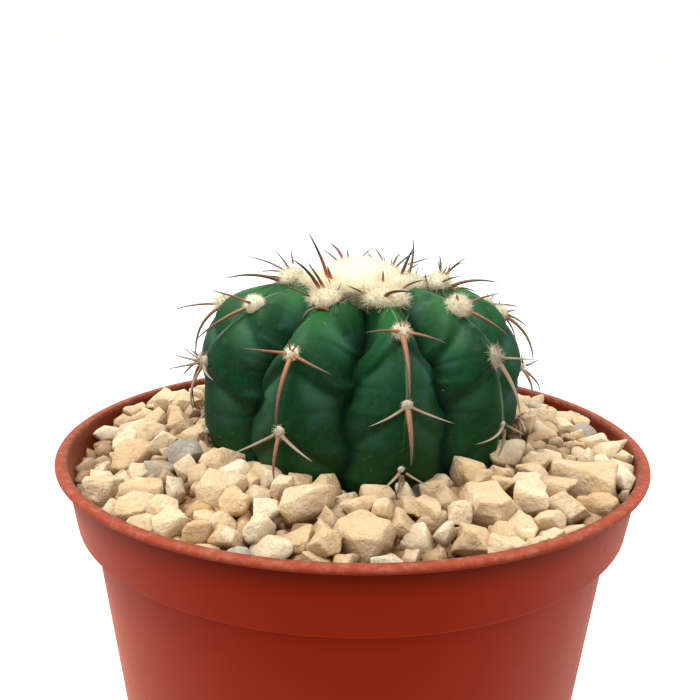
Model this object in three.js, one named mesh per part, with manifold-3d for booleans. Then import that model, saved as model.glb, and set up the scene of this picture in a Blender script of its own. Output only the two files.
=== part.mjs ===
// Potted round cactus: a squat ribbed cactus with curved spines and a woolly crown, in a round plastic
// nursery pot dressed with crushed stone.
// Millimetres, +Z up. The origin is on the pot's axis, on the surface that the pot stands on.

import * as THREE from 'three';
import { ConvexGeometry } from 'three/addons/geometries/ConvexGeometry.js';
import { mergeVertices } from 'three/addons/utils/BufferGeometryUtils.js';
import Module from 'manifold-3d';

const wasm = await Module();
wasm.setup();

// Driving dimensions

const CLEARANCE = 0.35;        // between pieces that rest on or in one another
const STEM_CLEARANCE = 0.6;    // kept round the stem, measured square to its outline

const POT_HEIGHT = 115;
const RIM_RADIUS = 65;
const WALL = 1.3;
const LIP_WIDTH = 2.1;
const LIP_THICKNESS = 0.9;
const COLLAR_DEPTH = 13.8;
const COLLAR_TOP_RADIUS = 63.1;
const COLLAR_FOOT_RADIUS = 61.3;
const BODY_TOP_RADIUS = 58.4;
const TAPER = 0.1105;          // radius lost for each millimetre of height
const FOOT_HEIGHT = 3;
const FOOT_WIDTH = 4;
const FLOOR_THICKNESS = 1.8;
const EDGE_BREAK = 0.35;       // bevels along the pot's edges
const DRAIN_HOLES = 6;
const DRAIN_RADIUS = 4;
const DRAIN_CIRCLE = 32;
const ROUND_SEGMENTS = 40;     // the same for pot, soil and gravel bed, so that their facets run side by side

const SOIL_TOP = POT_HEIGHT - 10;

const CACTUS_X = 1.3;          // the plant stands a little off the pot's axis
const EQUATOR_RADIUS = 37.2;
const EQUATOR_HEIGHT = POT_HEIGHT + 13;
const CROWN_RISE = 22.5;       // from the equator up to the crown
const FOOT_DROP = 32;          // from the equator down to where the curve would close
const SHOULDER_POWER = 2.9;    // superellipse powers of the crest's outline, above and below the equator
const BASE_POWER = 2.3;
const CROWN_FLAT_LENGTH = 12;  // the ribs start this far along the crest from the crown, under the wool
const GROOVE_DEPTH = 7;
const GROOVE_OPENING = [2, 34];    // stretch of the crest over which the grooves open
const GROOVE_CLOSING = 52;         // where they start to close again, down to the foot
const GROOVE_FOOT_SHARE = 0.25;    // of their full depth
const FLANK_SWELL = 2.2;           // how far a rib's flanks swell between two areoles
const CREST_SWELL = 0.8;
const SWELL_START = [14, 30];      // stretch of the crest over which the swellings set in
const SWELL_SKEW = 1.35;           // above 1, the swelling is fullest below the middle of two areoles
const FURROW_DROP = 1.2;           // the furrow between two swellings starts this far under an areole
const FURROW_SLANT = 9;            // and drops by this much over one rib's width
const AREOLE_STEP = 14;            // spacing taken above a rib's first areole and below its last
const COLUMNS_PER_RIB = 6;
const BODY_ROWS = 22;
const ROOT_RADIUS = 7.5;
const ROOT_DEPTH = 16;
const ROOT_SEGMENTS = 20;

// Each rib's azimuth from the front (-Y) towards +X, in degrees, and where its areoles sit, measured along
// the crest from the crown's centre. The first areole of each rib is in the crown's wool.
const RIBS = [
  { azimuth: 13, areoles: [21, 33.5, 47, 59.5] },
  { azimuth: 48, areoles: [12, 26, 40.5, 55] },
  { azimuth: 77, areoles: [18, 32.5, 45.5, 57] },
  { azimuth: 113, areoles: [20.5, 35, 49] },
  { azimuth: 150, areoles: [14, 28, 42.5, 56] },
  { azimuth: 189, areoles: [19, 33, 46.5, 59] },
  { azimuth: 228, areoles: [22, 37, 51.5] },
  { azimuth: 270, areoles: [17.5, 32.5, 47, 59.5] },
  { azimuth: 302, areoles: [13, 28, 44, 58] },
  { azimuth: 339.5, areoles: [22, 38.5, 53] },
];

const PAD_LENGTH = 2.6;        // half sizes of an areole's wool pad, along the rib, across it and out of it
const PAD_BREADTH = 1.9;
const PAD_HEIGHT = 1.3;
const SPINE_ROOT = 0.7;        // where the spines start from an areole's centre, inside its pad
const ASLANT = new THREE.Vector3(0.31, 0.17, 0.93);    // turns the section of a straight spine

// The spines of one areole: lean out of the surface, down the rib and sideways, how much the tip bends
// back towards the stem, length, radius at the root, and straight stretches.
const SPINES = [
  { out: 0.75, down: 0.8, side: 0.05, bend: 0.35, length: 12.5, radius: 0.62, steps: 3 },
  { out: 0.6, down: 0.05, side: -0.95, bend: 0.3, length: 9.5, radius: 0.55, steps: 2 },
  { out: 0.6, down: 0.05, side: 0.95, bend: 0.3, length: 9.5, radius: 0.55, steps: 2 },
  { out: 0.85, down: -0.55, side: -0.3, bend: 0, length: 3.6, radius: 0.32, steps: 1 },
  { out: 0.85, down: -0.55, side: 0.3, bend: 0, length: 3.6, radius: 0.32, steps: 1 },
];

const WOOL_TOP = POT_HEIGHT + 40.2;
const WOOL_SKIRT = POT_HEIGHT + 34;     // level of the wool's edge, down from the dome in its middle
const WOOL_UNDERSIDE = POT_HEIGHT + 31;
const WOOL_DOME_RADIUS = 8;
const WOOL_SKIRT_RADIUS = 16.5;
const WOOL_TUFTS = 60;
const WOOL_TUFT_LENGTH = 2.2;
const WOOL_TUFT_RADIUS = 0.9;
const WOOL_TUFT_ROOT = 1.2;             // how deep a tuft is sunk
const GOLDEN_ANGLE = 2.39996;

const GRAVEL_EDGE_LEVEL = POT_HEIGHT - 2.8;    // top of the stones against the pot's wall
const GRAVEL_PLANT_LEVEL = POT_HEIGHT + 2.6;   // and against the cactus
const HEAPS = [                                // mounds above that slope
  { x: 46, y: -24, height: 2.2, spread: 13 },
  { x: 2, y: -42, height: 1.6, spread: 12 },
];
const GRAVEL_HOLE_RADIUS = 35;                 // where the stones stop in the plant's grooves
const BED_DEPTH = 3.8;                         // from the tops of the stones down to the fine bed under them
const STONE_SIZES = [4.8, 4.1, 3.5, 3];        // half widths, placed from the largest to the smallest
const STONE_TRIES = [60, 260, 900, 2600];
const STONE_SPACING = 0.86;                    // of the sum of two stones' half widths
const STONE_GAP = 0.5;
const STONE_CORNERS = 5;
const STONE_TOP_SHARE = 0.66;                  // width of a stone's top and of its root, of its full width
const STONE_ROOT_SHARE = 0.6;

// The stones that stand out: place, half width, and height above the bed's level there.
const LARGE_STONES = [
  { x: 45, y: -27.5, size: 7.6, lift: 1.4 },
  { x: 25, y: -40, size: 4.9, lift: 1.2 },
  { x: -8.5, y: -42, size: 5.2, lift: 1 },
  { x: 2, y: -50, size: 5.6, lift: 1.6 },
  { x: 38.5, y: -38.5, size: 3.4, lift: 0.8 },
  { x: -36.5, y: -47, size: 3.8, lift: 1.2 },
  { x: -33, y: -31, size: 4.4, lift: 0.4 },
  { x: -23.5, y: -38.5, size: 4.4, lift: 0.8 },
  { x: -45, y: -21, size: 5, lift: 0.6 },
  { x: -47, y: -33, size: 4.2, lift: 0.4 },
  { x: -51, y: 8, size: 4.2, lift: 0.6 },
  { x: 51.5, y: 4, size: 4.4, lift: 0.8 },
  { x: 6, y: 50, size: 5.2, lift: 0.6 },
  { x: -30, y: 40, size: 5, lift: 0.8 },
  { x: 35, y: 38, size: 4.8, lift: 0.6 },
];

// Helpers

/** Seeded random numbers from 0 to 1, so that every run gives the same part. */
function randomFrom(seed) {
  let state = seed;
  return () => {
    state = (state + 0x6d2b79f5) | 0;
    let t = Math.imul(state ^ (state >>> 15), 1 | state);
    t = (t + Math.imul(t ^ (t >>> 7), 61 | t)) ^ t;
    return ((t ^ (t >>> 14)) >>> 0) / 4294967296;
  };
}

/** Turns a closed three.js geometry into a solid, with its doubled vertices merged and its faces out. */
function solid(geometry) {
  const bare = geometry.clone();
  bare.deleteAttribute('normal');
  bare.deleteAttribute('uv');
  const merged = mergeVertices(bare, 1e-4);
  const position = merged.getAttribute('position');
  const index = merged.getIndex().array;
  const corners = [0, 1, 2].map(() => new THREE.Vector3());
  const triangles = [];
  let volume = 0;
  for (let i = 0; i < index.length; i += 3) {
    const [a, b, c] = index.slice(i, i + 3);
    if (a !== b && b !== c && c !== a) {
      triangles.push([a, b, c]);
      [a, b, c].forEach((vertex, k) => corners[k].fromBufferAttribute(position, vertex));
      volume += corners[0].dot(corners[1].clone().cross(corners[2]));
    }
  }
  const outward = volume > 0 ? triangles : triangles.map(([a, b, c]) => [a, c, b]);
  const vertProperties = Float32Array.from(position.array);
  const triVerts = Uint32Array.from(outward.flat());
  return new wasm.Manifold(new wasm.Mesh({ numProp: 3, vertProperties, triVerts }));
}

/** Joins solids in pairs, which is quick for many small ones. */
function join(solids) {
  let parts = solids;
  while (parts.length > 1) {
    const next = [];
    for (let i = 0; i < parts.length; i += 2) {
      next.push(i + 1 < parts.length ? parts[i].add(parts[i + 1]) : parts[i]);
    }
    parts = next;
  }
  return parts[0];
}

/** Keeps the largest connected piece, which drops loose scraps and fills sealed hollows. */
function largest(body) {
  const pieces = body.decompose();
  return pieces.reduce((best, piece) => (piece.volume() > best.volume() ? piece : best));
}

/** Makes a named mesh from a solid. */
function meshOf(name, body, material) {
  const { vertProperties, triVerts, numProp } = body.getMesh();
  const geometry = new THREE.BufferGeometry();
  geometry.setAttribute('position', new THREE.BufferAttribute(Float32Array.from(vertProperties), numProp));
  geometry.setIndex(new THREE.BufferAttribute(Uint32Array.from(triVerts), 1));
  geometry.computeVertexNormals();
  const mesh = new THREE.Mesh(geometry, new THREE.MeshStandardMaterial(material));
  mesh.name = name;
  return mesh;
}

/** Turns a profile of [radius, height] points about the vertical axis. */
function turned(profile, segments) {
  const points = profile.map(([radius, height]) => new THREE.Vector2(radius, height));
  return new THREE.LatheGeometry(points, segments).rotateX(Math.PI / 2);
}

/** Moves every vertex of a geometry by a function of its place. */
function warp(geometry, move) {
  const position = geometry.getAttribute('position');
  const point = new THREE.Vector3();
  for (let i = 0; i < position.count; i += 1) {
    point.fromBufferAttribute(position, i);
    const moved = move(point.clone());
    position.setXYZ(i, moved.x, moved.y, moved.z);
  }
  return geometry;
}

// Pot

function potSolid() {
  const bottom = BODY_TOP_RADIUS - TAPER * (POT_HEIGHT - COLLAR_DEPTH);
  const collarFoot = POT_HEIGHT - COLLAR_DEPTH;
  const lipUnder = POT_HEIGHT - LIP_THICKNESS;
  const floorTop = FOOT_HEIGHT + FLOOR_THICKNESS;
  const profile = [
    [0, FOOT_HEIGHT],
    [bottom - FOOT_WIDTH - EDGE_BREAK, FOOT_HEIGHT],
    [bottom - FOOT_WIDTH, 0],
    [bottom - 2 * EDGE_BREAK, 0],
    [bottom, 2 * EDGE_BREAK],
    [BODY_TOP_RADIUS, collarFoot],
    [COLLAR_FOOT_RADIUS - EDGE_BREAK, collarFoot],
    [COLLAR_FOOT_RADIUS, collarFoot + EDGE_BREAK],
    [COLLAR_TOP_RADIUS, lipUnder - EDGE_BREAK],
    [RIM_RADIUS - EDGE_BREAK, lipUnder],
    [RIM_RADIUS, lipUnder + EDGE_BREAK],
    [RIM_RADIUS - EDGE_BREAK, POT_HEIGHT],
    [RIM_RADIUS - LIP_WIDTH + EDGE_BREAK, POT_HEIGHT],
    [COLLAR_TOP_RADIUS - WALL, lipUnder - EDGE_BREAK],
    [COLLAR_FOOT_RADIUS - WALL, collarFoot + WALL],
    [BODY_TOP_RADIUS - WALL, collarFoot + WALL],
    [bottom - WALL + TAPER * floorTop, floorTop],
    [0, floorTop],
  ];
  const holes = Array.from({ length: DRAIN_HOLES }, (_, i) => {
    const angle = (i / DRAIN_HOLES) * 2 * Math.PI;
    const hole = new THREE.CylinderGeometry(DRAIN_RADIUS, DRAIN_RADIUS, 2 * floorTop, 12);
    hole.rotateX(Math.PI / 2);
    hole.translate(DRAIN_CIRCLE * Math.cos(angle), DRAIN_CIRCLE * Math.sin(angle), floorTop);
    return solid(hole);
  });
  return holes.reduce((pot, hole) => pot.subtract(hole), solid(turned(profile, ROUND_SEGMENTS)));
}

/** The pot's inner radius at a height, less the clearance. */
function innerRadius(height) {
  const collarFoot = POT_HEIGHT - COLLAR_DEPTH;
  if (height < collarFoot + WALL) {
    return BODY_TOP_RADIUS - WALL - TAPER * (collarFoot - height) - CLEARANCE;
  }
  const rise = (height - collarFoot) / COLLAR_DEPTH;
  return COLLAR_FOOT_RADIUS + (COLLAR_TOP_RADIUS - COLLAR_FOOT_RADIUS) * rise - WALL - CLEARANCE;
}

// Soil

function soilSolid() {
  const low = FOOT_HEIGHT + FLOOR_THICKNESS + CLEARANCE;
  const shelf = POT_HEIGHT - COLLAR_DEPTH + WALL + CLEARANCE;
  const profile = [
    [0, low],
    [innerRadius(low), low],
    [innerRadius(shelf - 2 * WALL), shelf - WALL],
    [innerRadius(shelf - 2 * WALL), shelf],
    [innerRadius(shelf), shelf],
    [innerRadius(SOIL_TOP), SOIL_TOP],
    [0, SOIL_TOP],
  ];
  const holeRadius = ROOT_RADIUS + CLEARANCE;
  const holeDepth = ROOT_DEPTH + CLEARANCE;
  const hole = new THREE.CylinderGeometry(holeRadius, holeRadius, 2 * holeDepth, ROOT_SEGMENTS);
  hole.rotateX(Math.PI / 2);
  hole.translate(CACTUS_X, 0, SOIL_TOP);
  return solid(turned(profile, ROUND_SEGMENTS)).subtract(solid(hole));
}

// Cactus

/** A point of the rib crests' outline, by an angle from the crown (0) past the equator (90 degrees). */
function crestAtAngle(angle) {
  const across = Math.sin(angle);
  const along = Math.cos(angle);
  const power = along > 0 ? SHOULDER_POWER : BASE_POWER;
  const reach = along > 0 ? CROWN_RISE : FOOT_DROP;
  return new THREE.Vector2(
    EQUATOR_RADIUS * across ** (2 / power),
    EQUATOR_HEIGHT + reach * Math.sign(along) * Math.abs(along) ** (2 / power),
  );
}

/** The crest's outline as a polyline with its running length, down to the cactus's foot. */
const CREST = (() => {
  const points = [];
  const lengths = [];
  const foot = SOIL_TOP + CLEARANCE;
  for (let i = 0; ; i += 1) {
    const point = crestAtAngle((i / 800) * Math.PI);
    lengths.push(i === 0 ? 0 : lengths[i - 1] + point.distanceTo(points[i - 1]));
    points.push(point);
    if (point.y < foot) {
      return { points, lengths, total: lengths[i] };
    }
  }
})();

/** The crest's point and outward normal at a length along it from the crown. */
function crestAt(length) {
  const reached = CREST.lengths.findIndex((value) => value >= length);
  const high = reached < 1 ? (reached < 0 ? CREST.points.length - 1 : 1) : reached;
  const share = (length - CREST.lengths[high - 1]) / (CREST.lengths[high] - CREST.lengths[high - 1]);
  const from = CREST.points[high - 1];
  const to = CREST.points[high];
  const tangent = to.clone().sub(from).normalize();
  return { point: from.clone().lerp(to, share), normal: new THREE.Vector2(-tangent.y, tangent.x) };
}

/** Groove depth at a length along the crest: none at the crown, full at the equator, less at the foot. */
function grooveDepth(length) {
  const opening = THREE.MathUtils.smoothstep(length, ...GROOVE_OPENING);
  const closing = THREE.MathUtils.smoothstep(length, GROOVE_CLOSING, CREST.total);
  return GROOVE_DEPTH * opening * THREE.MathUtils.lerp(1, GROOVE_FOOT_SHARE, closing);
}

/** How far a rib has swollen, 0 to 1, between the furrow under one areole and the next. */
function swell(rib, length, across) {
  const place = length - FURROW_DROP - FURROW_SLANT * Math.abs(across);
  const { areoles } = rib;
  const marks = [areoles[0] - AREOLE_STEP, ...areoles, areoles[areoles.length - 1] + AREOLE_STEP];
  const next = marks.findIndex((mark) => mark > place);
  const below = next < 1 ? marks.length - 1 : next;
  const share = (place - marks[below - 1]) / (marks[below] - marks[below - 1]);
  return 0.5 - 0.5 * Math.cos(2 * Math.PI * THREE.MathUtils.clamp(share, 0, 1) ** SWELL_SKEW);
}

/** The azimuths of a rib's two grooves and its crest, in degrees. */
function ribSpan(index) {
  const count = RIBS.length;
  const crest = RIBS[index].azimuth;
  const before = RIBS[(index + count - 1) % count].azimuth - (index === 0 ? 360 : 0);
  const after = RIBS[(index + 1) % count].azimuth + (index === count - 1 ? 360 : 0);
  return { from: (crest + before) / 2, crest, to: (crest + after) / 2 };
}

/** A point on the stem: rib, place across it (-0.5 to 0.5), length along the crest, and growth outwards. */
function stemPoint(index, across, length, grow = 0) {
  const span = ribSpan(index);
  const side = across < 0 ? span.crest - span.from : span.to - span.crest;
  const azimuth = THREE.MathUtils.degToRad(span.crest + 2 * across * side);
  const off = Math.abs(across) * 2;
  const groove = 0.2 * off + 0.8 * off ** 2.2;
  const swelling = swell(RIBS[index], length, across);
  const fade = THREE.MathUtils.smoothstep(length, ...SWELL_START);
  const flank = FLANK_SWELL * Math.sin(Math.PI * off) * fade;
  const ridge = CREST_SWELL * (1 - off) * fade;
  const { point, normal } = crestAt(length);
  const lift = swelling * (flank + ridge) - grooveDepth(length) * groove + grow;
  const radius = point.x + normal.x * lift;
  const height = point.y + normal.y * lift;
  return new THREE.Vector3(CACTUS_X + radius * Math.sin(azimuth), -radius * Math.cos(azimuth), height);
}

/** The ribbed stem as a closed solid, grown outwards by a margin. */
function stemSolid(grow = 0) {
  const columns = RIBS.length * COLUMNS_PER_RIB;
  const start = CROWN_FLAT_LENGTH;
  const blank = new THREE.CylinderGeometry(1, 1, 1, columns, BODY_ROWS);
  const top = stemPoint(0, 0, start, grow).z;
  const foot = stemPoint(0, 0, CREST.total, grow).z - grow;
  return solid(warp(blank, (place) => {
    const row = 0.5 - place.y;
    if (Math.hypot(place.x, place.z) < 0.5) {
      return new THREE.Vector3(CACTUS_X, 0, row < 0.5 ? top : foot);
    }
    const turn = Math.atan2(place.x, place.z) / (2 * Math.PI) + 1;
    const column = Math.round(turn * columns) % columns;
    const index = Math.floor(column / COLUMNS_PER_RIB);
    const across = (column % COLUMNS_PER_RIB) / COLUMNS_PER_RIB - 0.5;
    const point = stemPoint(index, across, start + row * (CREST.total - start), grow);
    return new THREE.Vector3(point.x, point.y, row > 0.999 ? foot : point.z);
  }));
}

function rootSolid() {
  const root = new THREE.CylinderGeometry(ROOT_RADIUS, 0.6 * ROOT_RADIUS, ROOT_DEPTH + 4, ROOT_SEGMENTS);
  root.rotateX(Math.PI / 2);
  root.translate(CACTUS_X, 0, SOIL_TOP - ROOT_DEPTH / 2 + 2);
  return solid(root);
}

/** The frame of an areole: its place, and the directions out of the stem, down the rib and sideways. */
function areoleFrame(index, length) {
  const place = stemPoint(index, 0, length);
  const down = stemPoint(index, 0, length + 0.5).sub(stemPoint(index, 0, length - 0.5)).normalize();
  const azimuth = THREE.MathUtils.degToRad(RIBS[index].azimuth);
  const side = new THREE.Vector3(Math.cos(azimuth), Math.sin(azimuth), 0);
  const out = new THREE.Vector3().crossVectors(down, side).normalize();
  return { place, out, down, side };
}

/** An areole's pad of wool, grown outwards by a margin. */
function padSolid(frame, size, grow = 0) {
  const pad = new THREE.OctahedronGeometry(1.2, 0);
  const { place, out, down, side } = frame;
  return solid(warp(pad, (point) => place.clone()
    .addScaledVector(down, point.x * (PAD_LENGTH * size + 2 * grow))
    .addScaledVector(side, point.y * (PAD_BREADTH * size + 2 * grow))
    .addScaledVector(out, point.z * (PAD_HEIGHT * size + 2 * grow))));
}

/** A curved spine that tapers from its root to its tip. Grown outwards by a margin, it has a blunt tip. */
function spineSolid({ root, lean, bend, length, radius, steps }, grow = 0) {
  const middle = root.clone().addScaledVector(lean, 0.55 * length);
  const tip = middle.clone().addScaledVector(lean, 0.45 * length).addScaledVector(bend, length);
  const curve = new THREE.QuadraticBezierCurve3(root, middle, tip);
  const across = new THREE.Vector3().crossVectors(lean, bend.lengthSq() > 0 ? bend : ASLANT).normalize();
  const cone = new THREE.CylinderGeometry(grow > 0 ? 0.01 : 0, 1, 1, 3, steps);
  return solid(warp(cone, (point) => {
    const share = point.y + 0.5;
    const tangent = curve.getTangent(share);
    const over = new THREE.Vector3().crossVectors(across, tangent);
    const section = new THREE.Vector2(point.x, point.z);
    const width = section.length();
    section.multiplyScalar(radius + (width > 0 ? (2 * grow) / width : 0));
    const end = 2 * share - 1;
    return curve.getPoint(share)
      .addScaledVector(across, section.x)
      .addScaledVector(over, section.y)
      .addScaledVector(tangent, Math.abs(end) > 0.99 ? grow * end : 0);
  }));
}

/** The spines of one areole, each a little different from the next. */
function areoleSpines(frame, random, scale, rise) {
  const vary = () => 0.86 + 0.28 * random();
  return SPINES.map((spine) => {
    const lean = new THREE.Vector3()
      .addScaledVector(frame.out, spine.out * vary() + rise)
      .addScaledVector(frame.down, spine.down * vary() - rise)
      .addScaledVector(frame.side, spine.side * vary() + 0.12 * (random() - 0.5))
      .normalize();
    return {
      root: frame.place.clone().addScaledVector(lean, SPINE_ROOT),
      lean,
      bend: frame.out.clone().multiplyScalar(-spine.bend * vary()),
      length: spine.length * scale * vary(),
      radius: spine.radius,
      steps: spine.steps,
    };
  });
}

/** The areoles below the crown's wool, from the top of each rib down: pad frame, size and spines. */
const STEM_AREOLES = (() => {
  const random = randomFrom(7);
  return RIBS.flatMap((rib, index) => rib.areoles.slice(1).map((length, order) => {
    const frame = areoleFrame(index, length);
    const spines = areoleSpines(frame, random, 1.05 - 0.08 * order, order === 0 ? 0.25 : 0);
    return { frame, size: 1 - 0.14 * order, spines };
  }));
})();

function cactusSolid() {
  const pads = STEM_AREOLES.map(({ frame, size }) => padSolid(frame, size));
  const spines = STEM_AREOLES.flatMap((areole) => areole.spines.map((spine) => spineSolid(spine)));
  return largest(stemSolid().add(join([rootSolid(), ...pads, ...spines])));
}

// Crown wool

/** The wool's closed body, from the middle of its dome out to its skirt and back underneath. */
function woolBody() {
  return solid(warp(new THREE.SphereGeometry(1, 20, 10), (point) => {
    const around = Math.hypot(point.x, point.z) > 0 ? Math.atan2(point.z, point.x) : 0;
    const share = 2 * Math.acos(THREE.MathUtils.clamp(point.y, -1, 1)) / Math.PI;
    const lump = 1 + 0.06 * Math.sin(5 * around + 4.5 * share) + 0.04 * Math.sin(9 * around - 2 * share);
    const onTop = Math.min(1, share);
    const dome = WOOL_DOME_RADIUS * Math.sin(0.5 * Math.PI * Math.min(1, onTop / 0.7));
    const skirt = (WOOL_SKIRT_RADIUS - WOOL_DOME_RADIUS) * THREE.MathUtils.smoothstep(onTop, 0.6, 1);
    const under = WOOL_SKIRT_RADIUS * Math.sin(0.5 * Math.PI * share);
    const reach = lump * (share < 1 ? dome + skirt : under);
    const height = share < 1
      ? THREE.MathUtils.lerp(WOOL_TOP, WOOL_SKIRT, share ** 2)
      : THREE.MathUtils.lerp(WOOL_SKIRT, WOOL_UNDERSIDE, share - 1);
    return new THREE.Vector3(CACTUS_X + reach * Math.cos(around), reach * Math.sin(around), height);
  }));
}

/** Short tufts that stand in the wool, spread evenly over it. */
function woolTufts(random) {
  return Array.from({ length: WOOL_TUFTS }, (_, i) => {
    const radius = Math.sqrt((i + 0.5) / WOOL_TUFTS) * (WOOL_SKIRT_RADIUS - 1);
    const height = radius < WOOL_DOME_RADIUS
      ? WOOL_TOP - 4 * (radius / WOOL_DOME_RADIUS) ** 2
      : WOOL_SKIRT + 1.5 - 0.25 * (radius - WOOL_DOME_RADIUS);
    const outward = new THREE.Vector3(Math.cos(i * GOLDEN_ANGLE), Math.sin(i * GOLDEN_ANGLE), 0);
    const root = new THREE.Vector3(CACTUS_X, 0, height - WOOL_TUFT_ROOT).addScaledVector(outward, radius);
    const slope = Math.min(1, radius / WOOL_DOME_RADIUS);
    const lean = new THREE.Vector3(0, 0, 1.1).addScaledVector(outward, slope).normalize();
    const length = WOOL_TUFT_LENGTH * (0.8 + 0.5 * random());
    return spineSolid({ root, lean, bend: new THREE.Vector3(), length, radius: WOOL_TUFT_RADIUS, steps: 1 });
  });
}

/** The youngest areoles, one at the top of each rib, whose spines stand up out of the wool. */
function crownAreoles(random) {
  return RIBS.flatMap((rib, index) => {
    const frame = areoleFrame(index, rib.areoles[0]);
    const upward = { ...frame, out: frame.out.clone().lerp(new THREE.Vector3(0, 0, 1), 0.4).normalize() };
    const spines = areoleSpines(upward, random, 1, 0.45);
    return [padSolid(frame, 1.25), ...spines.map((spine) => spineSolid(spine))];
  });
}

function crownWoolSolid() {
  const random = randomFrom(23);
  const pieces = [woolBody(), ...woolTufts(random), ...crownAreoles(random)];
  return largest(join(pieces).subtract(stemSolid(STEM_CLEARANCE)));
}

// Gravel

/** The level of the stones' tops at a place on the bed. */
function gravelLevel(x, y) {
  const fromAxis = Math.hypot(x, y);
  const share = THREE.MathUtils.smoothstep(fromAxis, 42, innerRadius(POT_HEIGHT));
  const heaped = HEAPS.map((heap) => (
    heap.height * Math.exp(-((x - heap.x) ** 2 + (y - heap.y) ** 2) / (2 * heap.spread ** 2))
  ));
  const slope = THREE.MathUtils.lerp(GRAVEL_PLANT_LEVEL, GRAVEL_EDGE_LEVEL, share);
  return slope + heaped.reduce((sum, height) => sum + height);
}

/** Places stones by size, the largest first, each where it only just touches those placed before it. */
function placeStones(random) {
  const stones = LARGE_STONES.map((stone) => ({ ...stone }));
  STONE_SIZES.forEach((size, order) => {
    const inner = GRAVEL_HOLE_RADIUS + 0.5 * size;
    const outer = innerRadius(POT_HEIGHT) - 0.6 * size;
    for (let i = 0; i < STONE_TRIES[order]; i += 1) {
      const radius = Math.sqrt(THREE.MathUtils.lerp(inner ** 2, outer ** 2, random()));
      const azimuth = 2 * Math.PI * random();
      const x = radius * Math.cos(azimuth);
      const y = radius * Math.sin(azimuth);
      const clear = stones.every((other) => (
        Math.hypot(x - other.x, y - other.y) > STONE_SPACING * (size + other.size)
      ));
      if (clear && Math.hypot(x - CACTUS_X, y) > inner) {
        stones.push({ x, y, size, lift: 1.4 * (random() - 0.5) });
      }
    }
  });
  return stones;
}

/** The part of a convex outline behind a line, given by a point on the line and the direction to cut off. */
function cutOutline(outline, point, direction) {
  const beyond = outline.map((corner) => corner.clone().sub(point).dot(direction));
  return outline.flatMap((corner, i) => {
    const next = (i + 1) % outline.length;
    const kept = beyond[i] <= 0 ? [corner] : [];
    if ((beyond[i] > 0) !== (beyond[next] > 0)) {
      kept.push(corner.clone().lerp(outline[next], beyond[i] / (beyond[i] - beyond[next])));
    }
    return kept;
  });
}

/** A stone's outline seen from above: an uneven polygon, cut back where it meets its neighbours. */
function stoneOutline(stone, stones, random) {
  const centre = new THREE.Vector2(stone.x, stone.y);
  const start = random();
  let outline = Array.from({ length: STONE_CORNERS }, (_, i) => {
    const angle = ((i + start + 0.5 * random()) / STONE_CORNERS) * 2 * Math.PI;
    const reach = stone.size * (1.25 + 0.4 * random());
    return centre.clone().add(new THREE.Vector2(reach * Math.cos(angle), reach * Math.sin(angle)));
  });
  stones.forEach((other) => {
    const towards = new THREE.Vector2(other.x, other.y).sub(centre);
    const distance = towards.length();
    if (other !== stone && distance < 2 * (stone.size + other.size)) {
      const share = 0.5 + (stone.size ** 2 - other.size ** 2) / (2 * distance ** 2);
      const direction = towards.clone().divideScalar(distance);
      const point = centre.clone().addScaledVector(towards, share).addScaledVector(direction, -STONE_GAP / 2);
      outline = cutOutline(outline, point, direction);
    }
  });
  const plant = new THREE.Vector2(CACTUS_X, 0);
  const inward = plant.clone().sub(centre).normalize();
  outline = cutOutline(outline, plant.clone().addScaledVector(inward, -GRAVEL_HOLE_RADIUS), inward);
  [-0.09, 0, 0.09].forEach((turn) => {
    const outward = new THREE.Vector2(1, 0).rotateAround(new THREE.Vector2(), centre.angle() + turn);
    const wall = outward.clone().multiplyScalar(innerRadius(SOIL_TOP));
    outline = cutOutline(outline, wall, outward);
  });
  return { centre, outline };
}

/** One crushed stone: the convex hull of its outline, a smaller uneven top and a root in the bed. */
function stoneSolid(stone, stones, random) {
  const { centre, outline } = stoneOutline(stone, stones, random);
  const top = gravelLevel(stone.x, stone.y) + stone.lift;
  const height = Math.min(BED_DEPTH + stone.lift, 1.3 * stone.size);
  const ring = (share, level, spread) => outline.map((corner) => {
    const place = centre.clone().lerp(corner, share * (0.88 + 0.24 * random()));
    return new THREE.Vector3(place.x, place.y, level + spread * (random() - 0.5));
  });
  return solid(new ConvexGeometry([
    ...ring(STONE_TOP_SHARE, top - 0.1 * height, 0.3 * height).filter((_, i) => i % 3 !== 1),
    ...ring(1, top - 0.75 * height, 0.35 * height),
    ...ring(STONE_ROOT_SHARE, top - 1.4 * height, 0).slice(0, 3),
  ]));
}

function gravelSolid() {
  const random = randomFrom(5);
  const low = SOIL_TOP + CLEARANCE;
  const bedEdge = GRAVEL_EDGE_LEVEL - BED_DEPTH;
  const bedCrown = GRAVEL_PLANT_LEVEL - BED_DEPTH;
  const bed = [
    [GRAVEL_HOLE_RADIUS - CACTUS_X, low],
    [innerRadius(low), low],
    [innerRadius(bedEdge), bedEdge],
    [EQUATOR_RADIUS + 6, bedCrown],
    [GRAVEL_HOLE_RADIUS - CACTUS_X, bedCrown],
    [GRAVEL_HOLE_RADIUS - CACTUS_X, low],
  ];
  const places = placeStones(random);
  const stones = places.map((stone) => stoneSolid(stone, places, random));
  const heap = join([solid(turned(bed, ROUND_SEGMENTS)), ...stones]);
  const lowAreoles = STEM_AREOLES.filter(({ frame }) => frame.place.z < POT_HEIGHT + SPINES[0].length + 8);
  const clearings = join(lowAreoles.flatMap(({ frame, size, spines }) => [
    padSolid(frame, size, CLEARANCE),
    ...spines.map((spine) => spineSolid(spine, CLEARANCE)),
  ]));
  return largest(heap.subtract(stemSolid(STEM_CLEARANCE)).subtract(clearings));
}

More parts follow.
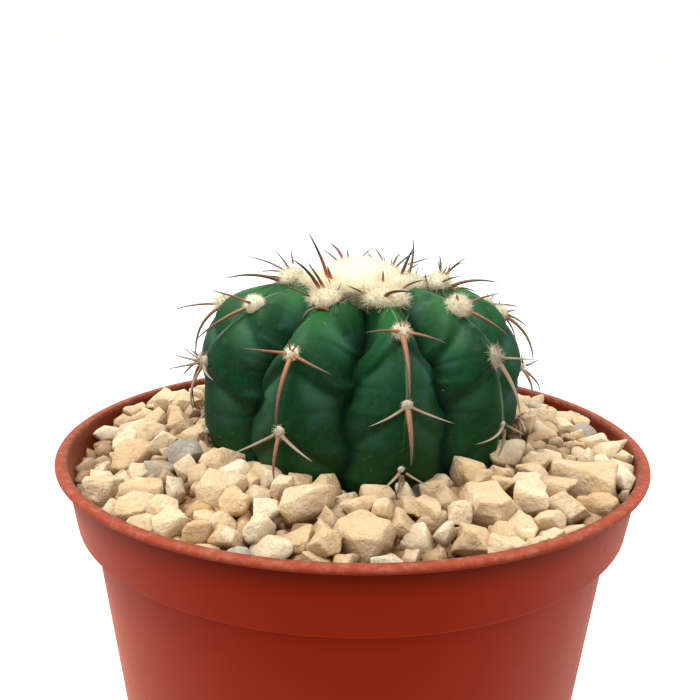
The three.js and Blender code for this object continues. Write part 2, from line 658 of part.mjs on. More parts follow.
const group = new THREE.Group();
group.add(
  meshOf('pot', potSolid(), { color: 0xa8432c, roughness: 0.45, metalness: 0 }),
  meshOf('soil', soilSolid(), { color: 0x3b2a20, roughness: 0.95, metalness: 0 }),
  meshOf('gravel', gravelSolid(), { color: 0xe2cda4, roughness: 0.85, metalness: 0 }),
  meshOf('cactus', cactusSolid(), { color: 0x1f5a3c, roughness: 0.35, metalness: 0 }),
  meshOf('crown_wool', crownWoolSolid(), { color: 0xf1e6c8, roughness: 0.95, metalness: 0 }),
);

export default group;
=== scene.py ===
"""Dresses the packed solids of a potted round cactus with finished pieces: pot, soil, gravel, stem, spines, wool.

Lengths are in metres, +Z up. The origin is on the pot's axis, on the surface that the pot stands on, and the
front is -Y.
"""

import math

import bmesh
import bpy
import numpy as np
from bpy.props import FloatProperty, FloatVectorProperty, IntProperty, PointerProperty
from mathutils import Matrix, Vector, noise


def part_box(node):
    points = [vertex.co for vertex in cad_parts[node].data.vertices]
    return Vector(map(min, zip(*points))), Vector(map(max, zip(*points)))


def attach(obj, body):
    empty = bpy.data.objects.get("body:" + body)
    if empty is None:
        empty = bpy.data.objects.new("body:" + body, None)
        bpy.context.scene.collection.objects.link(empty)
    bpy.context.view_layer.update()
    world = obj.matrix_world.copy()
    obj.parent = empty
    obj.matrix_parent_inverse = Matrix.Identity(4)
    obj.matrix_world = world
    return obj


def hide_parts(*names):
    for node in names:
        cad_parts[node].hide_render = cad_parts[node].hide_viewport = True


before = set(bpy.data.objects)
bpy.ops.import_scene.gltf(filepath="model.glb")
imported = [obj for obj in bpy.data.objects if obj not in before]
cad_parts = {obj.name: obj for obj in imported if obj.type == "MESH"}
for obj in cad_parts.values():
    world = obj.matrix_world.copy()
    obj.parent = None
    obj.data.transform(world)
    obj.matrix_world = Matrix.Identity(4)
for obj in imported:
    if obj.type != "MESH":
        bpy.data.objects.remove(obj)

bl_info = {
    "name": "Potted round cactus",
    "version": (1, 0, 0),
    "blender": (4, 5, 0),
    "location": "3D View > Sidebar > Cactus",
    "description": "Makes the finished pieces of a potted round cactus over its packed solids",
    "category": "Object",
}

MM = 0.001
TURN = 2 * math.pi
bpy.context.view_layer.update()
POT_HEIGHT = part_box("pot")[1].z
SOIL_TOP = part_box("soil")[1].z
ROOT_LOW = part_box("cactus")[0].z

# Faces round the pot and round a ring of the gravel's bed, and points along the stem's outline.
POT_SEGMENTS, BED_SEGMENTS, OUTLINE_POINTS = 192, 120, 1601

# How far the stones stay from the pot's wall and from the soil.
WALL_GAP, SOIL_GAP = 0.15 * MM, 0.2 * MM

# Where a rib's lobes begin to show, by the running length from the crown.
LOBES_FROM, LOBES_FULL = 14 * MM, 26 * MM

# The turn from one direction to the next that spreads directions evenly over a ball.
GOLDEN_ANGLE = 2.39996

# Each rib's areoles: how far along the rib's crest from the middle of the crown, in millimetres, and the azimuth
# from the front towards +X, in degrees. The first areole of each rib is in the crown's wool.
RIBS = (
    ((23, 12.5), (33.5, 13), (47, 13), (59.5, 12.3)),
    ((12, 48), (28.3, 42.8), (40.4, 45.2), (54, 49.6)),
    ((18, 77), (33.5, 77), (46, 77), (57, 77)),
    ((20.5, 113), (35, 113), (49, 113)),
    ((14, 150), (28, 150), (42.5, 150), (56, 150)),
    ((19, 189), (33, 189), (46.5, 189), (59, 189)),
    ((22, 228), (37, 228), (51.5, 228)),
    ((17.5, 270), (33.5, 270), (47, 270), (59.5, 270)),
    ((13, 308), (29, 312.5), (43.3, 303), (58, 302)),
    ((24, 343), (38.5, 339.5), (53, 337)),
)

# The usual spines of an areole: where the tip is, in millimetres sideways, down the rib and out of the stem
# from the areole, how far the spine bows outwards as a share of its length, and its radius at the root.
USUAL_SPINES = (
    (-8, 2, 4.5, 0.1, 0.45),
    (8, 2, 4.5, 0.1, 0.45),
    (0, 12, 4, 0.26, 0.68),
    (-1, -2.5, 2.6, 0, 0.24),
    (1.2, -2.6, 2.4, 0, 0.24),
)

# Areoles whose spines are known one by one: (rib, areole) and then as above.
KNOWN_SPINES = {
    (0, 1): ((-7.7, 1.8, 3.6, 0.1, 0.48), (7.5, 3.8, 2.2, 0.12, 0.5), (-1.5, 14.3, 2.2, 0.2, 0.78),
             (-0.6, -2.2, 2.2, 0, 0.26), (1.4, -2.6, 2.2, 0, 0.26)),
    (0, 2): ((-8.2, 1.8, 4.6, 0.13, 0.38), (7.6, 2.1, 4.6, 0.13, 0.38), (-0.2, 9.4, 5.6, 0.2, 0.9)),
    (0, 3): ((-4.8, 0.8, 4.6, 0.06, 0.36), (4.6, 1.5, 3.6, 0.06, 0.36), (-0.9, 4.2, 2.2, 0.1, 0.34),
             (0.7, 4.2, 2, 0.1, 0.34)),
    (1, 1): ((7.5, 1.8, 5.3, 0.1, 0.44), (5.1, 10.1, 2, 0.1, 0.56), (-1.9, -1, 3.1, 0, 0.62)),
    (1, 2): ((4.7, 0.8, 6.1, 0.08, 0.44), (-1.7, 11.1, 5.1, 0.18, 0.6), (0.5, -3.5, 1.1, 0, 0.26)),
    (1, 3): ((-10.6, 1.5, 0.6, 0.2, 0.4), (-1.6, 6.9, 1.4, 0.14, 0.42), (6.1, 3, 2.5, 0.1, 0.36)),
    (2, 1): ((0.4, -2.7, 0.9, 0, 0.26), (1, 1.1, 3.4, 0.06, 0.34), (-1.1, 5.1, 3.9, 0.12, 0.44),
             (-2.2, 12.8, 1.6, 0.28, 0.55)),
    (2, 2): ((1.3, -2.5, 3.6, 0.1, 0.38), (-1.1, 4.3, 5.4, 0.3, 0.42), (-4.7, 4.7, 3.7, 0.2, 0.42),
             (-1.4, -3.3, -0.6, 0, 0.22)),
    (7, 1): ((0.2, 7, 9.3, 0.14, 0.46), (4.5, 13.3, -1, 0.3, 0.55), (-0.3, 0.1, 3, 0, 0.26),
             (-0.6, -2.8, 1.1, 0, 0.24)),
    (8, 1): ((-5.4, 3.1, 7, 0.1, 0.48), (2.2, 2.4, 4.2, 0.1, 0.44), (-3.5, 13, 2.8, 0.12, 0.58),
             (-0.3, -2.7, 1.7, 0, 0.26)),
    (8, 2): ((-4.1, -1.6, 5.3, 0.06, 0.44), (-2.1, 0.9, 7.4, 0.16, 0.44), (-4.6, -3, 3.5, 0, 0.28),
             (-0.2, -3.8, 0.3, 0, 0.28), (7.6, 2.2, 1.4, 0.16, 0.44), (2.7, 10.7, 3.3, 0.3, 0.5)),
    (8, 3): ((-6.8, 2.8, 2.8, 0.06, 0.3), (-5.7, 3.3, 2.8, 0.06, 0.3), (0.5, 6.3, 0.6, 0.2, 0.4)),
    (9, 1): ((-7.9, -0.3, 4.2, 0.08, 0.46), (9.7, 2.8, 3.4, 0.1, 0.5), (1.8, 14, 4.4, 0.26, 0.78),
             (-0.2, -2.6, 2.1, 0, 0.24), (1.9, -2.3, 2.4, 0, 0.24)),
    (9, 2): ((-7.8, 3, 5.3, 0.06, 0.46), (8.6, 2.2, 4.3, 0.06, 0.46), (0.8, 8, 5, 0.24, 0.66)),
}

# The spines at the crown: root and tip in millimetres from the pot's axis at the rim's level (x, y, z), how far
# the middle is off the straight line (x, z), radius at the root, and age from 0 for the newest.
CROWN_SPINES = (
    ((-6.3, -4.0, 36.4), (-10.3, -6.0, 46.0), (0.5, -0.1), 0.45, 0.00),
    ((-5.3, -5.0, 36.1), (-6.1, -6.0, 38.8), (0.0, 0.0), 0.34, 0.05),
    ((-4.9, -12.0, 34.5), (-5.6, -12.6, 36.8), (0.1, 0.0), 0.26, 0.00),
    ((-6.7, -22.3, 34.9), (-12.0, -26.3, 41.6), (0.2, 1.0), 0.46, 0.00),
    ((-5.8, -22.0, 35.0), (-9.3, -25.0, 41.2), (0.3, 0.1), 0.36, 0.00),
    ((-7.8, -22.5, 33.7), (-14.9, -25.5, 36.9), (-0.3, 0.4), 0.30, 0.35),
    ((-5.6, -25.4, 31.8), (-9.9, -27.4, 30.5), (-0.4, 1.1), 0.42, 0.30),
    ((-3.5, -24.0, 33.1), (-0.5, -27.0, 35.1), (0.0, 0.1), 0.33, 0.35),
    ((-3.8, -22.0, 34.6), (-2.6, -23.0, 37.0), (0.0, 0.0), 0.20, 0.10),
    ((2.6, -20.0, 34.0), (-1.7, -24.0, 36.6), (0.0, 0.2), 0.30, 0.00),
    ((5.9, -23.4, 33.7), (11.0, -28.4, 36.0), (-1.1, 0.9), 0.46, 0.05),
    ((9.2, -19.0, 35.1), (13.6, -23.0, 37.8), (-0.3, 0.4), 0.34, 0.00),
    ((6.0, -8.0, 35.8), (5.9, -9.0, 38.2), (0.0, 0.0), 0.24, 0.00),
    ((9.7, -8.0, 35.1), (12.3, -9.0, 43.2), (-0.5, -0.1), 0.52, 0.10),
    ((11.1, -5.0, 36.2), (12.4, -4.0, 45.1), (0.7, -0.2), 0.42, 0.12),
    ((11.9, -2.0, 37.4), (14.4, -1.0, 39.1), (-0.4, 0.1), 0.26, 0.10),
    ((12.6, 2.0, 38.8), (17.6, 5.0, 40.1), (0.0, 0.0), 0.24, 0.10),
    ((-3.1, 10.0, 38.5), (-6.3, 13.0, 42.6), (0.5, 0.4), 0.42, 0.00),
    ((4.4, 12.0, 38.8), (2.7, 14.0, 40.5), (0.0, 0.0), 0.30, 0.30),
    ((-16.0, 14.0, 35.4), (-20.0, 16.0, 40.4), (0.2, 0.3), 0.34, 0.15),
    ((-17.7, 14.0, 35.6), (-27.3, 15.0, 39.0), (0.5, 0.5), 0.30, 0.25),
    ((-15.3, 14.0, 37.7), (-15.8, 15.0, 40.6), (0.0, 0.0), 0.24, 0.30),
    ((-14.8, -1.0, 34.0), (-19.7, -3.0, 36.0), (0.1, 0.6), 0.36, 0.20),
    ((-17.1, -1.0, 34.3), (-28.9, -5.0, 35.3), (0.0, 1.4), 0.50, 0.15),
    ((-17.1, 4.0, 36.1), (-22.4, 5.0, 35.8), (-0.2, 0.5), 0.28, 0.30),
    ((17.6, -5.0, 34.2), (23.1, -7.0, 37.0), (-0.2, 0.6), 0.36, 0.20),
    ((21.4, -4.0, 34.1), (31.2, -7.0, 35.7), (-0.4, 1.1), 0.48, 0.18),
    ((19.5, 0.0, 36.5), (20.9, 1.0, 38.5), (0.0, 0.0), 0.28, 0.10),
    ((15.8, -5.0, 34.7), (15.0, -6.0, 37.7), (0.0, 0.0), 0.22, 0.05),
    ((19.0, -9.0, 32.8), (17.7, -10.0, 34.7), (0.0, 0.0), 0.22, 0.05),
    ((23.4, 4.0, 32.8), (29.0, 7.0, 31.7), (-0.2, 0.7), 0.30, 0.40),
    ((21.7, 6.0, 36.5), (22.3, 7.0, 38.9), (0.0, 0.0), 0.22, 0.30),
)

# Ribs at the plant's sides, whose long spines are still olive with bluish green tips.
OUTER_RIBS = (2, 7)

# Ribs whose crown areoles are behind the dome of wool.
HIDDEN_RIBS = (3, 4, 5)

# The wool pads of the crown and of each areole after it, and those that differ, by (rib, areole): half width,
# half length, height and length of the hairs, in millimetres.
USUAL_PADS = ((2.6, 2, 1.7, 1.4), (1.5, 1.8, 1.3, 1.2), (1, 1.3, 0.7, 0.8), (0.65, 0.7, 0.35, 0.6))
KNOWN_PADS = {
    (0, 0): (4.2, 2.4, 1.8, 1.5),
    (9, 0): (2.9, 2.5, 1.8, 1.5),
    (8, 0): (2.6, 1.9, 1.8, 1.2),
    (1, 0): (2.8, 1.9, 1.8, 1.2),
    (0, 1): (1.5, 1.5, 1, 1.05),
    (1, 1): (2.2, 2.2, 2, 1.1),
    (8, 1): (2.2, 2, 1.9, 0.6),
    (9, 1): (1.3, 1.35, 1, 0.8),
    (2, 1): (1.4, 1.5, 1.2, 1),
    (0, 2): (1.05, 1.05, 0.4, 0.6),
    (1, 2): (1.2, 2.1, 0.9, 1.2),
    (8, 2): (1.1, 1.5, 0.9, 0.9),
}

# Ribs whose crest lies nearer the axis than the others, as a share of the others' radius.
RIB_REACH = {2: 0.958, 7: 0.958}

# Ribs whose flanks swell less than the others', as a share of the others' swelling.
RIB_SWELL = {0: 0.5, 1: 0.75, 8: 0.85}

# How far the groove after a rib is pushed towards the next rib, as a share of the way between their crests:
# (running length in millimetres, push), beside what the ribs' swellings push.
GROOVE_PUSH = {
    8: ((22, 0.12), (40, 0.11), (52, 0)),
    9: ((18, 0.2), (26, 0.18), (36, 0.06), (46, 0)),
    0: ((22, -0.09), (36, -0.06), (46, 0)),
}

# Stones that stand out: place and half width in millimetres, height above the gravel's level, and tone
# (0 pale to 0.7 cream, 0.8 ochre, 1 grey).
KNOWN_STONES = (
    (45, -27.5, 7.4, 0.6, 0.3),
    (25, -40, 5.4, 0.9, 0.35),
    (-8.5, -42, 5, 0.7, 0.3),
    (2, -50, 5.2, 0.6, 0.45),
    (38.5, -38.5, 3.6, 0.6, 0.25),
    (-36.5, -47, 3.9, 0.4, 0.4),
    (-34, -23.5, 2.9, 0.8, 0.98),
    (-23.5, -38.5, 4.2, 0.6, 0.3),
    (-45, -21, 4.4, 0.4, 0.6),
    (-47, -33, 3.6, 0.3, 0.35),
    (-49.5, -11.4, 3.6, 0.6, 0.1),
    (-18, -57, 3.8, -0.2, 0.94),
    (55.5, 6, 3.6, 0.6, 0.96),
    (6, 50, 5, 0.6, 0.3),
    (-30, 40, 4.6, 0.6, 0.4),
    (35, 38, 4.6, 0.6, 0.35),
)

# Rises and dips of the gravel's level: place, height and spread in millimetres.
HEAPS = ((46, -24, 1.8, 13), (-42, -20, 0.8, 10), (4, -34, -1.2, 12), (0, 62, 1.4, 30), (-58, 16, 1, 16))


def linear(red, green, blue):
    """A colour given as it looks on a screen, 0 to 255, as the shader's own numbers."""
    def channel(value):
        value /= 255
        return value / 12.92 if value <= 0.04045 else ((value + 0.055) / 1.055) ** 2.4
    return tuple(channel(value) for value in (red, green, blue))


def length(name, description, default):
    """A length property, in metres."""
    return FloatProperty(name=name, description=description, default=default, unit="LENGTH", subtype="DISTANCE",
                         precision=5)


def colour(name, description, default):
    """A colour property."""
    return FloatVectorProperty(name=name, description=description, default=default, subtype="COLOR", size=3,
                               min=0, max=1)


class PotSizes(bpy.types.PropertyGroup):
    """The plastic pot."""

    rim_radius: length("Rim radius", "Outside of the lip", 65 * MM)
    wall: length("Wall", "Thickness of the wall", 1.3 * MM)
    lip_width: length("Lip width", "Width of the lip's flat top", 2.2 * MM)
    lip_thickness: length("Lip thickness", "Height of the lip's edge", 1.1 * MM)
    collar_depth: length("Collar depth", "From the rim down to the collar's foot", 13.8 * MM)
    collar_top_radius: length("Collar top radius", "Under the lip", 63.1 * MM)
    collar_foot_radius: length("Collar foot radius", "At the step", 61.3 * MM)
    body_top_radius: length("Body top radius", "Under the collar", 58.4 * MM)
    taper: FloatProperty(name="Taper", description="Radius lost for each metre of height", default=0.1105)
    foot_height: length("Foot height", "Of the floor above the table", 3 * MM)
    foot_width: length("Foot width", "Width of the ring that it stands on", 4 * MM)
    floor_thickness: length("Floor thickness", "Thickness of the pot's floor", 1.8 * MM)
    drain_radius: length("Drain hole radius", "Radius of a drain hole", 4 * MM)
    drain_circle: length("Drain circle", "Radius of the circle of drain holes", 32 * MM)
    drain_holes: IntProperty(name="Drain holes", description="Number of drain holes", default=6, min=0)
    colour: colour("Colour", "Of the plastic", linear(177, 38, 3))


class StemSizes(bpy.types.PropertyGroup):
    """The ribbed stem."""

    offset: length("Offset", "Of the plant's middle to the right of the pot's axis", 1.3 * MM)
    equator_radius: length("Equator radius", "Of the rib crests at their widest", 37.2 * MM)
    equator_height: length("Equator height", "Above the table", POT_HEIGHT + 13 * MM)
    crown_rise: length("Crown rise", "From the equator up to the crown", 22.5 * MM)
    foot_drop: length("Foot drop", "From the equator down to where the outline would close", 32 * MM)
    shoulder_power: FloatProperty(name="Shoulder power", description="Squareness above the equator", default=2.9)
    base_power: FloatProperty(name="Base power", description="Squareness below the equator", default=2.3)
    groove_depth: length("Groove depth", "Depth of the grooves between ribs", 8.4 * MM)
    flank_swell: length("Flank swell", "How far the flanks swell between areoles", 1.9 * MM)
    crest_swell: length("Crest swell", "How far the crest swells between areoles", 0.9 * MM)
    root_radius: length("Root radius", "Of the root under the stem", 7.5 * MM)
    colour: colour("Colour", "Of the skin", linear(15, 73, 35))
    young_colour: colour("Young colour", "Of the skin near the crown and on the crests", linear(48, 124, 48))


class SpineSizes(bpy.types.PropertyGroup):
    """The spines."""

    sides: IntProperty(name="Sides", description="Of a spine's section", default=7, min=3)
    steps: IntProperty(name="Steps", description="Along a spine", default=9, min=2)
    flatness: FloatProperty(name="Flatness", description="Thickness of a spine as a share of its width", default=0.72)
    seed: IntProperty(name="Seed", description="Of the random draw", default=4)
    colour: colour("Colour", "Of a grown spine", linear(150, 93, 60))


class WoolSizes(bpy.types.PropertyGroup):
    """The wool of the areoles and of the crown."""

    pad_size: FloatProperty(name="Pad size", description="Size of all wool pads, 1 as grown", default=1)
    top: length("Top", "Of the crown's wool above the table", POT_HEIGHT + 40.1 * MM)
    skirt_level: length("Skirt level", "Of the crown wool's edge", POT_HEIGHT + 34.9 * MM)
    dome_radius: length("Dome radius", "Of the raised middle of the wool", 7.8 * MM)
    dome_height: length("Dome height", "Of the raised middle over the wool round it", 4.6 * MM)
    skirt_radius: length("Skirt radius", "Of the wool's edge at the back", 13.8 * MM)
    skirt_front: length("Skirt front", "How much further the wool reaches at the front", 4.6 * MM)
    hair_length: length("Hair length", "Of the hairs on the crown", 0.95 * MM)
    hair_thickness: length("Hair thickness", "Radius of a hair at its root", 0.042 * MM)
    crown_hairs: FloatProperty(name="Crown hairs", description="Per square metre", default=8.2e6)
    pad_hairs: FloatProperty(name="Pad hairs", description="Per square metre", default=3e7)
    colour: colour("Colour", "Of the wool", linear(255, 250, 224))


class GravelSizes(bpy.types.PropertyGroup):
    """The gravel."""

    edge_level: length("Edge level", "Of the stones' tops at the pot's wall", POT_HEIGHT - 1.8 * MM)
    plant_level: length("Plant level", "Of the stones' tops at the plant", POT_HEIGHT + 2.4 * MM)
    depth: length("Depth", "Of the loose stones", 7 * MM)
    stones: IntProperty(name="Stones", description="Number of loose stones", default=880)
    smallest: length("Smallest", "Half width of the smallest loose stones", 1.5 * MM)
    largest: length("Largest", "Half width of the largest loose stones", 4.1 * MM)
    flatness: FloatProperty(name="Flatness", description="Height of a lying stone as a share of its width",
                            default=0.72)
    wear: FloatProperty(name="Wear", description="How far the edges are worn off, as a share of a stone's size",
                        default=0.16)
    chip_density: FloatProperty(name="Chip density", description="Small chips per square metre", default=1.6e5)
    seed: IntProperty(name="Seed", description="Of the random draw", default=11)
    colour: colour("Colour", "Of most stones", linear(230, 204, 164))


class StageSizes(bpy.types.PropertyGroup):
    """The camera and the light."""

    eye: FloatVectorProperty(name="Eye", description="Place of the camera", subtype="XYZ", unit="LENGTH", size=3,
                             default=(0, -157.86 * MM, POT_HEIGHT + 51.95 * MM))
    pitch: FloatProperty(name="Pitch", description="Of the camera, downwards", default=0.2063, subtype="ANGLE")
    yaw: FloatProperty(name="Yaw", description="Of the camera, to the right", default=-0.0057, subtype="ANGLE")
    roll: FloatProperty(name="Roll", description="Of the camera", default=0.0154, subtype="ANGLE")
    focal_length: FloatProperty(name="Focal length", description="In millimetres on a 36 mm sensor", default=36)
    key_power: FloatProperty(name="Key light", description="Power of the lamp above", default=5.6)
    front: FloatProperty(name="Front", description="Brightness of the surroundings in front", default=0.28)
    sides: FloatProperty(name="Sides", description="Brightness added at the sides", default=0.86)
    above: FloatProperty(name="Above", description="Brightness added from above", default=0.15)
    below: FloatProperty(name="Below", description="Brightness lost below the horizon", default=0.3)


SETTINGS = {"pot": PotSizes, "stem": StemSizes, "spines": SpineSizes, "wool": WoolSizes, "gravel": GravelSizes,
            "stage": StageSizes}


def sizes(name):
    """The scene's settings for a group of pieces."""
    return getattr(bpy.context.scene, "cactus_" + name)


# Node trees


class Value:
    """A number that varies over a surface or over points. Arithmetic on it adds Math nodes to its tree.

    It also carries a vector from one node to the next, without arithmetic.
    """

    def __init__(self, graph, socket):
        self.graph = graph
        self.socket = socket

    def math(self, operation, *others):
        node = self.graph.add("ShaderNodeMath", {"operation": operation}, dict(enumerate((self, *others))))
        return Value(self.graph, node.outputs[0])

    def __add__(self, other):
        return self.math("ADD", other)

    def __sub__(self, other):
        return self.math("SUBTRACT", other)

    def __mul__(self, other):
        return self.math("MULTIPLY", other)

    def __truediv__(self, other):
        return self.math("DIVIDE", other)

    def __pow__(self, other):
        return self.math("POWER", other)

    def __rsub__(self, other):
        return self.graph.number(other).math("SUBTRACT", self)

    def __rtruediv__(self, other):
        return self.graph.number(other).math("DIVIDE", self)

    __radd__ = __add__
    __rmul__ = __mul__

    def smooth(self, low, high):
        """0 below low, 1 above high, and a smooth step between them. Low may be the greater."""
        node = self.graph.add("ShaderNodeMapRange", {"interpolation_type": "SMOOTHSTEP"},
                              {"Value": self, "From Min": low, "From Max": high})
        return Value(self.graph, node.outputs["Result"])


class Graph:
    """A node tree. Every node is added by its add method."""

    def __init__(self, tree):
        self.tree = tree

    def add(self, kind, settings=None, sockets=None):
        """Adds a node, sets its settings and then the values or links of its inputs, by name or number."""
        node = self.tree.nodes.new(kind)
        for name, value in (settings or {}).items():
            if name == "stops":
                self.set_stops(node.color_ramp, value)
            else:
                setattr(node, name, value)
        for name, value in (sockets or {}).items():
            socket = node.inputs[name]
            if isinstance(value, Value):
                value = value.socket
            if isinstance(value, bpy.types.NodeSocket):
                self.tree.links.new(value, socket)
            else:
                socket.default_value = value
        return node

    @staticmethod
    def set_stops(ramp, stops):
        while len(ramp.elements) < len(stops):
            ramp.elements.new(0.5)
        for element, (place, tint) in zip(ramp.elements, stops):
            element.position = place
            element.color = (*tint, 1)

    def number(self, value):
        node = self.add("ShaderNodeValue")
        node.outputs[0].default_value = value
        return Value(self, node.outputs[0])

    def split(self, vector):
        """The three numbers of a vector."""
        return [Value(self, part) for part in self.add("ShaderNodeSeparateXYZ", None, {0: vector}).outputs]

    def vector(self, x, y, z):
        """A vector of three numbers."""
        return self.add("ShaderNodeCombineXYZ", None, {"X": x, "Y": y, "Z": z}).outputs[0]

    def scaled(self, vector, factor):
        """A vector times a number."""
        return self.add("ShaderNodeVectorMath", {"operation": "SCALE"}, {0: vector, "Scale": factor}).outputs[0]


class Finish(Graph):
    """A material made of nodes round one Principled shader, whose even sockets are set as numbers."""

    def __init__(self, name, **even):
        self.material = bpy.data.materials.new(name)
        self.material.use_nodes = True
        super().__init__(self.material.node_tree)
        self.shader = self.tree.nodes["Principled BSDF"]
        for socket, value in even.items():
            self.shader.inputs[socket.replace("_", " ")].default_value = value
        self.place = self.add("ShaderNodeTexCoord").outputs["Object"]

    def noise(self, size, detail=2, roughness=0.5, place=None):
        """Noise from 0 to 1 with features of a size in metres."""
        node = self.add("ShaderNodeTexNoise", None, {"Vector": place or self.place, "Scale": 1 / size,
                                                     "Detail": detail, "Roughness": roughness})
        return Value(self, node.outputs["Fac"])

    def specks(self, size):
        """Distance from the middle of scattered cells of a size in metres, in cell widths."""
        node = self.add("ShaderNodeTexVoronoi", None, {"Vector": self.place, "Scale": 1 / size})
        return Value(self, node.outputs["Distance"])

    def attribute(self, name):
        """A number that the mesh stores for each vertex."""
        return Value(self, self.add("ShaderNodeAttribute", {"attribute_name": name}).outputs["Fac"])

    def mix(self, share, first, second, blend="MIX"):
        """A colour between two colours."""
        colours = {6: first if isinstance(first, bpy.types.NodeSocket) else (*first, 1),
                   7: second if isinstance(second, bpy.types.NodeSocket) else (*second, 1)}
        node = self.add("ShaderNodeMix", {"data_type": "RGBA", "blend_type": blend}, {0: share, **colours})
        return node.outputs[2]

    def layers(self, tint, *coats):
        """A colour under coats of (share, colour as it looks on a screen)."""
        for share, coat in coats:
            tint = self.mix(share, tint, linear(*coat))
        return tint

    def ramp(self, value, *stops):
        """A colour by a number, from stops of (place, colour)."""
        return self.add("ShaderNodeValToRGB", {"stops": stops}, {"Fac": value}).outputs["Color"]

    def stretched(self, *factors):
        """The place with each axis scaled, for a grain that runs one way."""
        return self.add("ShaderNodeMapping", None, {"Vector": self.place, "Scale": factors}).outputs["Vector"]

    def bump(self, height, distance, before=None):
        """A surface relief of a height from 0 to 1 and a depth in metres, on top of another one."""
        sockets = {"Height": height, "Distance": distance}
        if before is not None:
            sockets["Normal"] = before
        return self.add("ShaderNodeBump", None, sockets).outputs["Normal"]

    def connect(self, **sockets):
        """Links what varies over the surface to the shader, and returns the material."""
        for name, value in sockets.items():
            source = value.socket if isinstance(value, Value) else value
            self.tree.links.new(source, self.shader.inputs[name.replace("_", " ")])
        return self.material


class Growth(Graph):
    """A Geometry Nodes tree with named inputs."""

    KINDS = {float: "NodeSocketFloat", int: "NodeSocketInt"}

    def __init__(self, name, **inputs):
        super().__init__(bpy.data.node_groups.new(name, "GeometryNodeTree"))
        face = self.tree.interface
        face.new_socket("Geometry", in_out="INPUT", socket_type="NodeSocketGeometry")
        face.new_socket("Material", in_out="INPUT", socket_type="NodeSocketMaterial")
        for label, value in inputs.items():
            socket = face.new_socket(label.replace("_", " "), in_out="INPUT", socket_type=self.KINDS[type(value)])
            socket.default_value = value
        face.new_socket("Geometry", in_out="OUTPUT", socket_type="NodeSocketGeometry")
        self.source = self.add("NodeGroupInput").outputs

    def input(self, label):
        """A number from the tree's inputs."""
        return Value(self, self.source[label])

    def named(self, name, kind="FLOAT"):
        """An attribute of the geometry."""
        node = self.add("GeometryNodeInputNamedAttribute", {"data_type": kind}, {"Name": name})
        return Value(self, node.outputs["Attribute"])

    def random(self, low, high, shift=0):
        """A random number between two numbers, or a random vector between two vectors, by the tree's seed."""
        seed = self.input("Seed") + shift if shift else self.source["Seed"]
        kind, first, out = ("FLOAT", 2, 1) if isinstance(low, float) else ("FLOAT_VECTOR", 0, 0)
        node = self.add("FunctionNodeRandomValue", {"data_type": kind}, {first: low, first + 1: high, "Seed": seed})
        return Value(self, node.outputs[out])

    def moved(self, geometry, offset):
        """The geometry with its points moved."""
        return self.add("GeometryNodeSetPosition", None, {"Geometry": geometry, "Offset": offset}).outputs[0]

    def scattered(self, mesh, density):
        """Random points on a mesh, and their normals."""
        spots = self.add("GeometryNodeDistributePointsOnFaces", None,
                         {"Mesh": mesh, "Density": density, "Seed": self.source["Seed"]}).outputs
        return spots["Points"], spots["Normal"]

    def copies(self, points, form, turn, scale):
        """A copy of a form on each point."""
        return self.add("GeometryNodeInstanceOnPoints", None,
                        {"Points": points, "Instance": form, "Rotation": turn, "Scale": scale}).outputs[0]

    def ring(self, sides, radius):
        """A round section for a sweep."""
        return self.add("GeometryNodeCurvePrimitiveCircle", None, {"Resolution": sides, "Radius": radius}).outputs[0]

    def along(self):
        """The share of the way along a curve."""
        return Value(self, self.add("GeometryNodeSplineParameter").outputs["Factor"])

    def swept(self, curve, section, scale):
        """A section swept along a curve, with closed ends."""
        return self.add("GeometryNodeCurveToMesh", None, {"Curve": curve, "Profile Curve": section,
                                                          "Scale": scale, "Fill Caps": True}).outputs[0]

    def joined(self, *parts):
        """Several geometries as one."""
        both = self.add("GeometryNodeJoinGeometry")
        for part in parts:
            self.tree.links.new(part, both.inputs[0])
        return both.outputs[0]

    def smoothed(self, geometry):
        """The geometry with smooth shading."""
        return self.add("GeometryNodeSetShadeSmooth", None, {"Geometry": geometry}).outputs[0]

    def finished(self, geometry):
        """The geometry with the piece's material."""
        return self.add("GeometryNodeSetMaterial", None,
                        {"Geometry": geometry, "Material": self.source["Material"]}).outputs[0]

    def end(self, geometry):
        """Realizes, sets the material and closes the tree."""
        real = self.add("GeometryNodeRealizeInstances", None, {"Geometry": geometry}).outputs[0]
        self.add("NodeGroupOutput", None, {"Geometry": self.finished(real)})
        return self.tree


def grow(piece, tree, **values):
    """Runs a Geometry Nodes tree on a piece and keeps its result as the piece's plain mesh."""
    modifier = piece.modifiers.new(tree.name, "NODES")
    modifier.node_group = tree
    wanted = {label.replace("_", " "): value for label, value in values.items()}
    for item in tree.interface.items_tree:
        if item.item_type == "SOCKET" and item.in_out == "INPUT" and item.name in wanted:
            modifier[item.identifier] = wanted[item.name]
    settle(piece)
    # A mesh that a tree makes itself brings an empty material slot, which is cleared away here.
    piece.data.materials.clear()
    piece.data.materials.append(values["Material"])
    piece.data.polygons.foreach_set("material_index", np.zeros(len(piece.data.polygons), int))
    return piece


def settle(piece):
    """Turns a piece's live modifiers into its plain mesh."""
    view = bpy.context.evaluated_depsgraph_get()
    mesh = bpy.data.meshes.new_from_object(piece.evaluated_get(view), preserve_all_data_layers=True, depsgraph=view)
    piece.modifiers.clear()
    old = piece.data
    piece.data = mesh
    bpy.data.meshes.remove(old)
    mesh.name = piece.name
    return piece


# Meshes


def new_piece(name, vertices, faces, material=None, edges=()):
    """A smooth mesh object at the origin."""
    mesh = bpy.data.meshes.new(name)
    mesh.from_pydata(np.asarray(vertices, float).tolist(), edges, faces)
    mesh.validate()
    mesh.update()
    mesh.shade_smooth()
    piece = bpy.data.objects.new(name, mesh)
    bpy.context.scene.collection.objects.link(piece)
    if material:
        mesh.materials.append(material)
    return piece


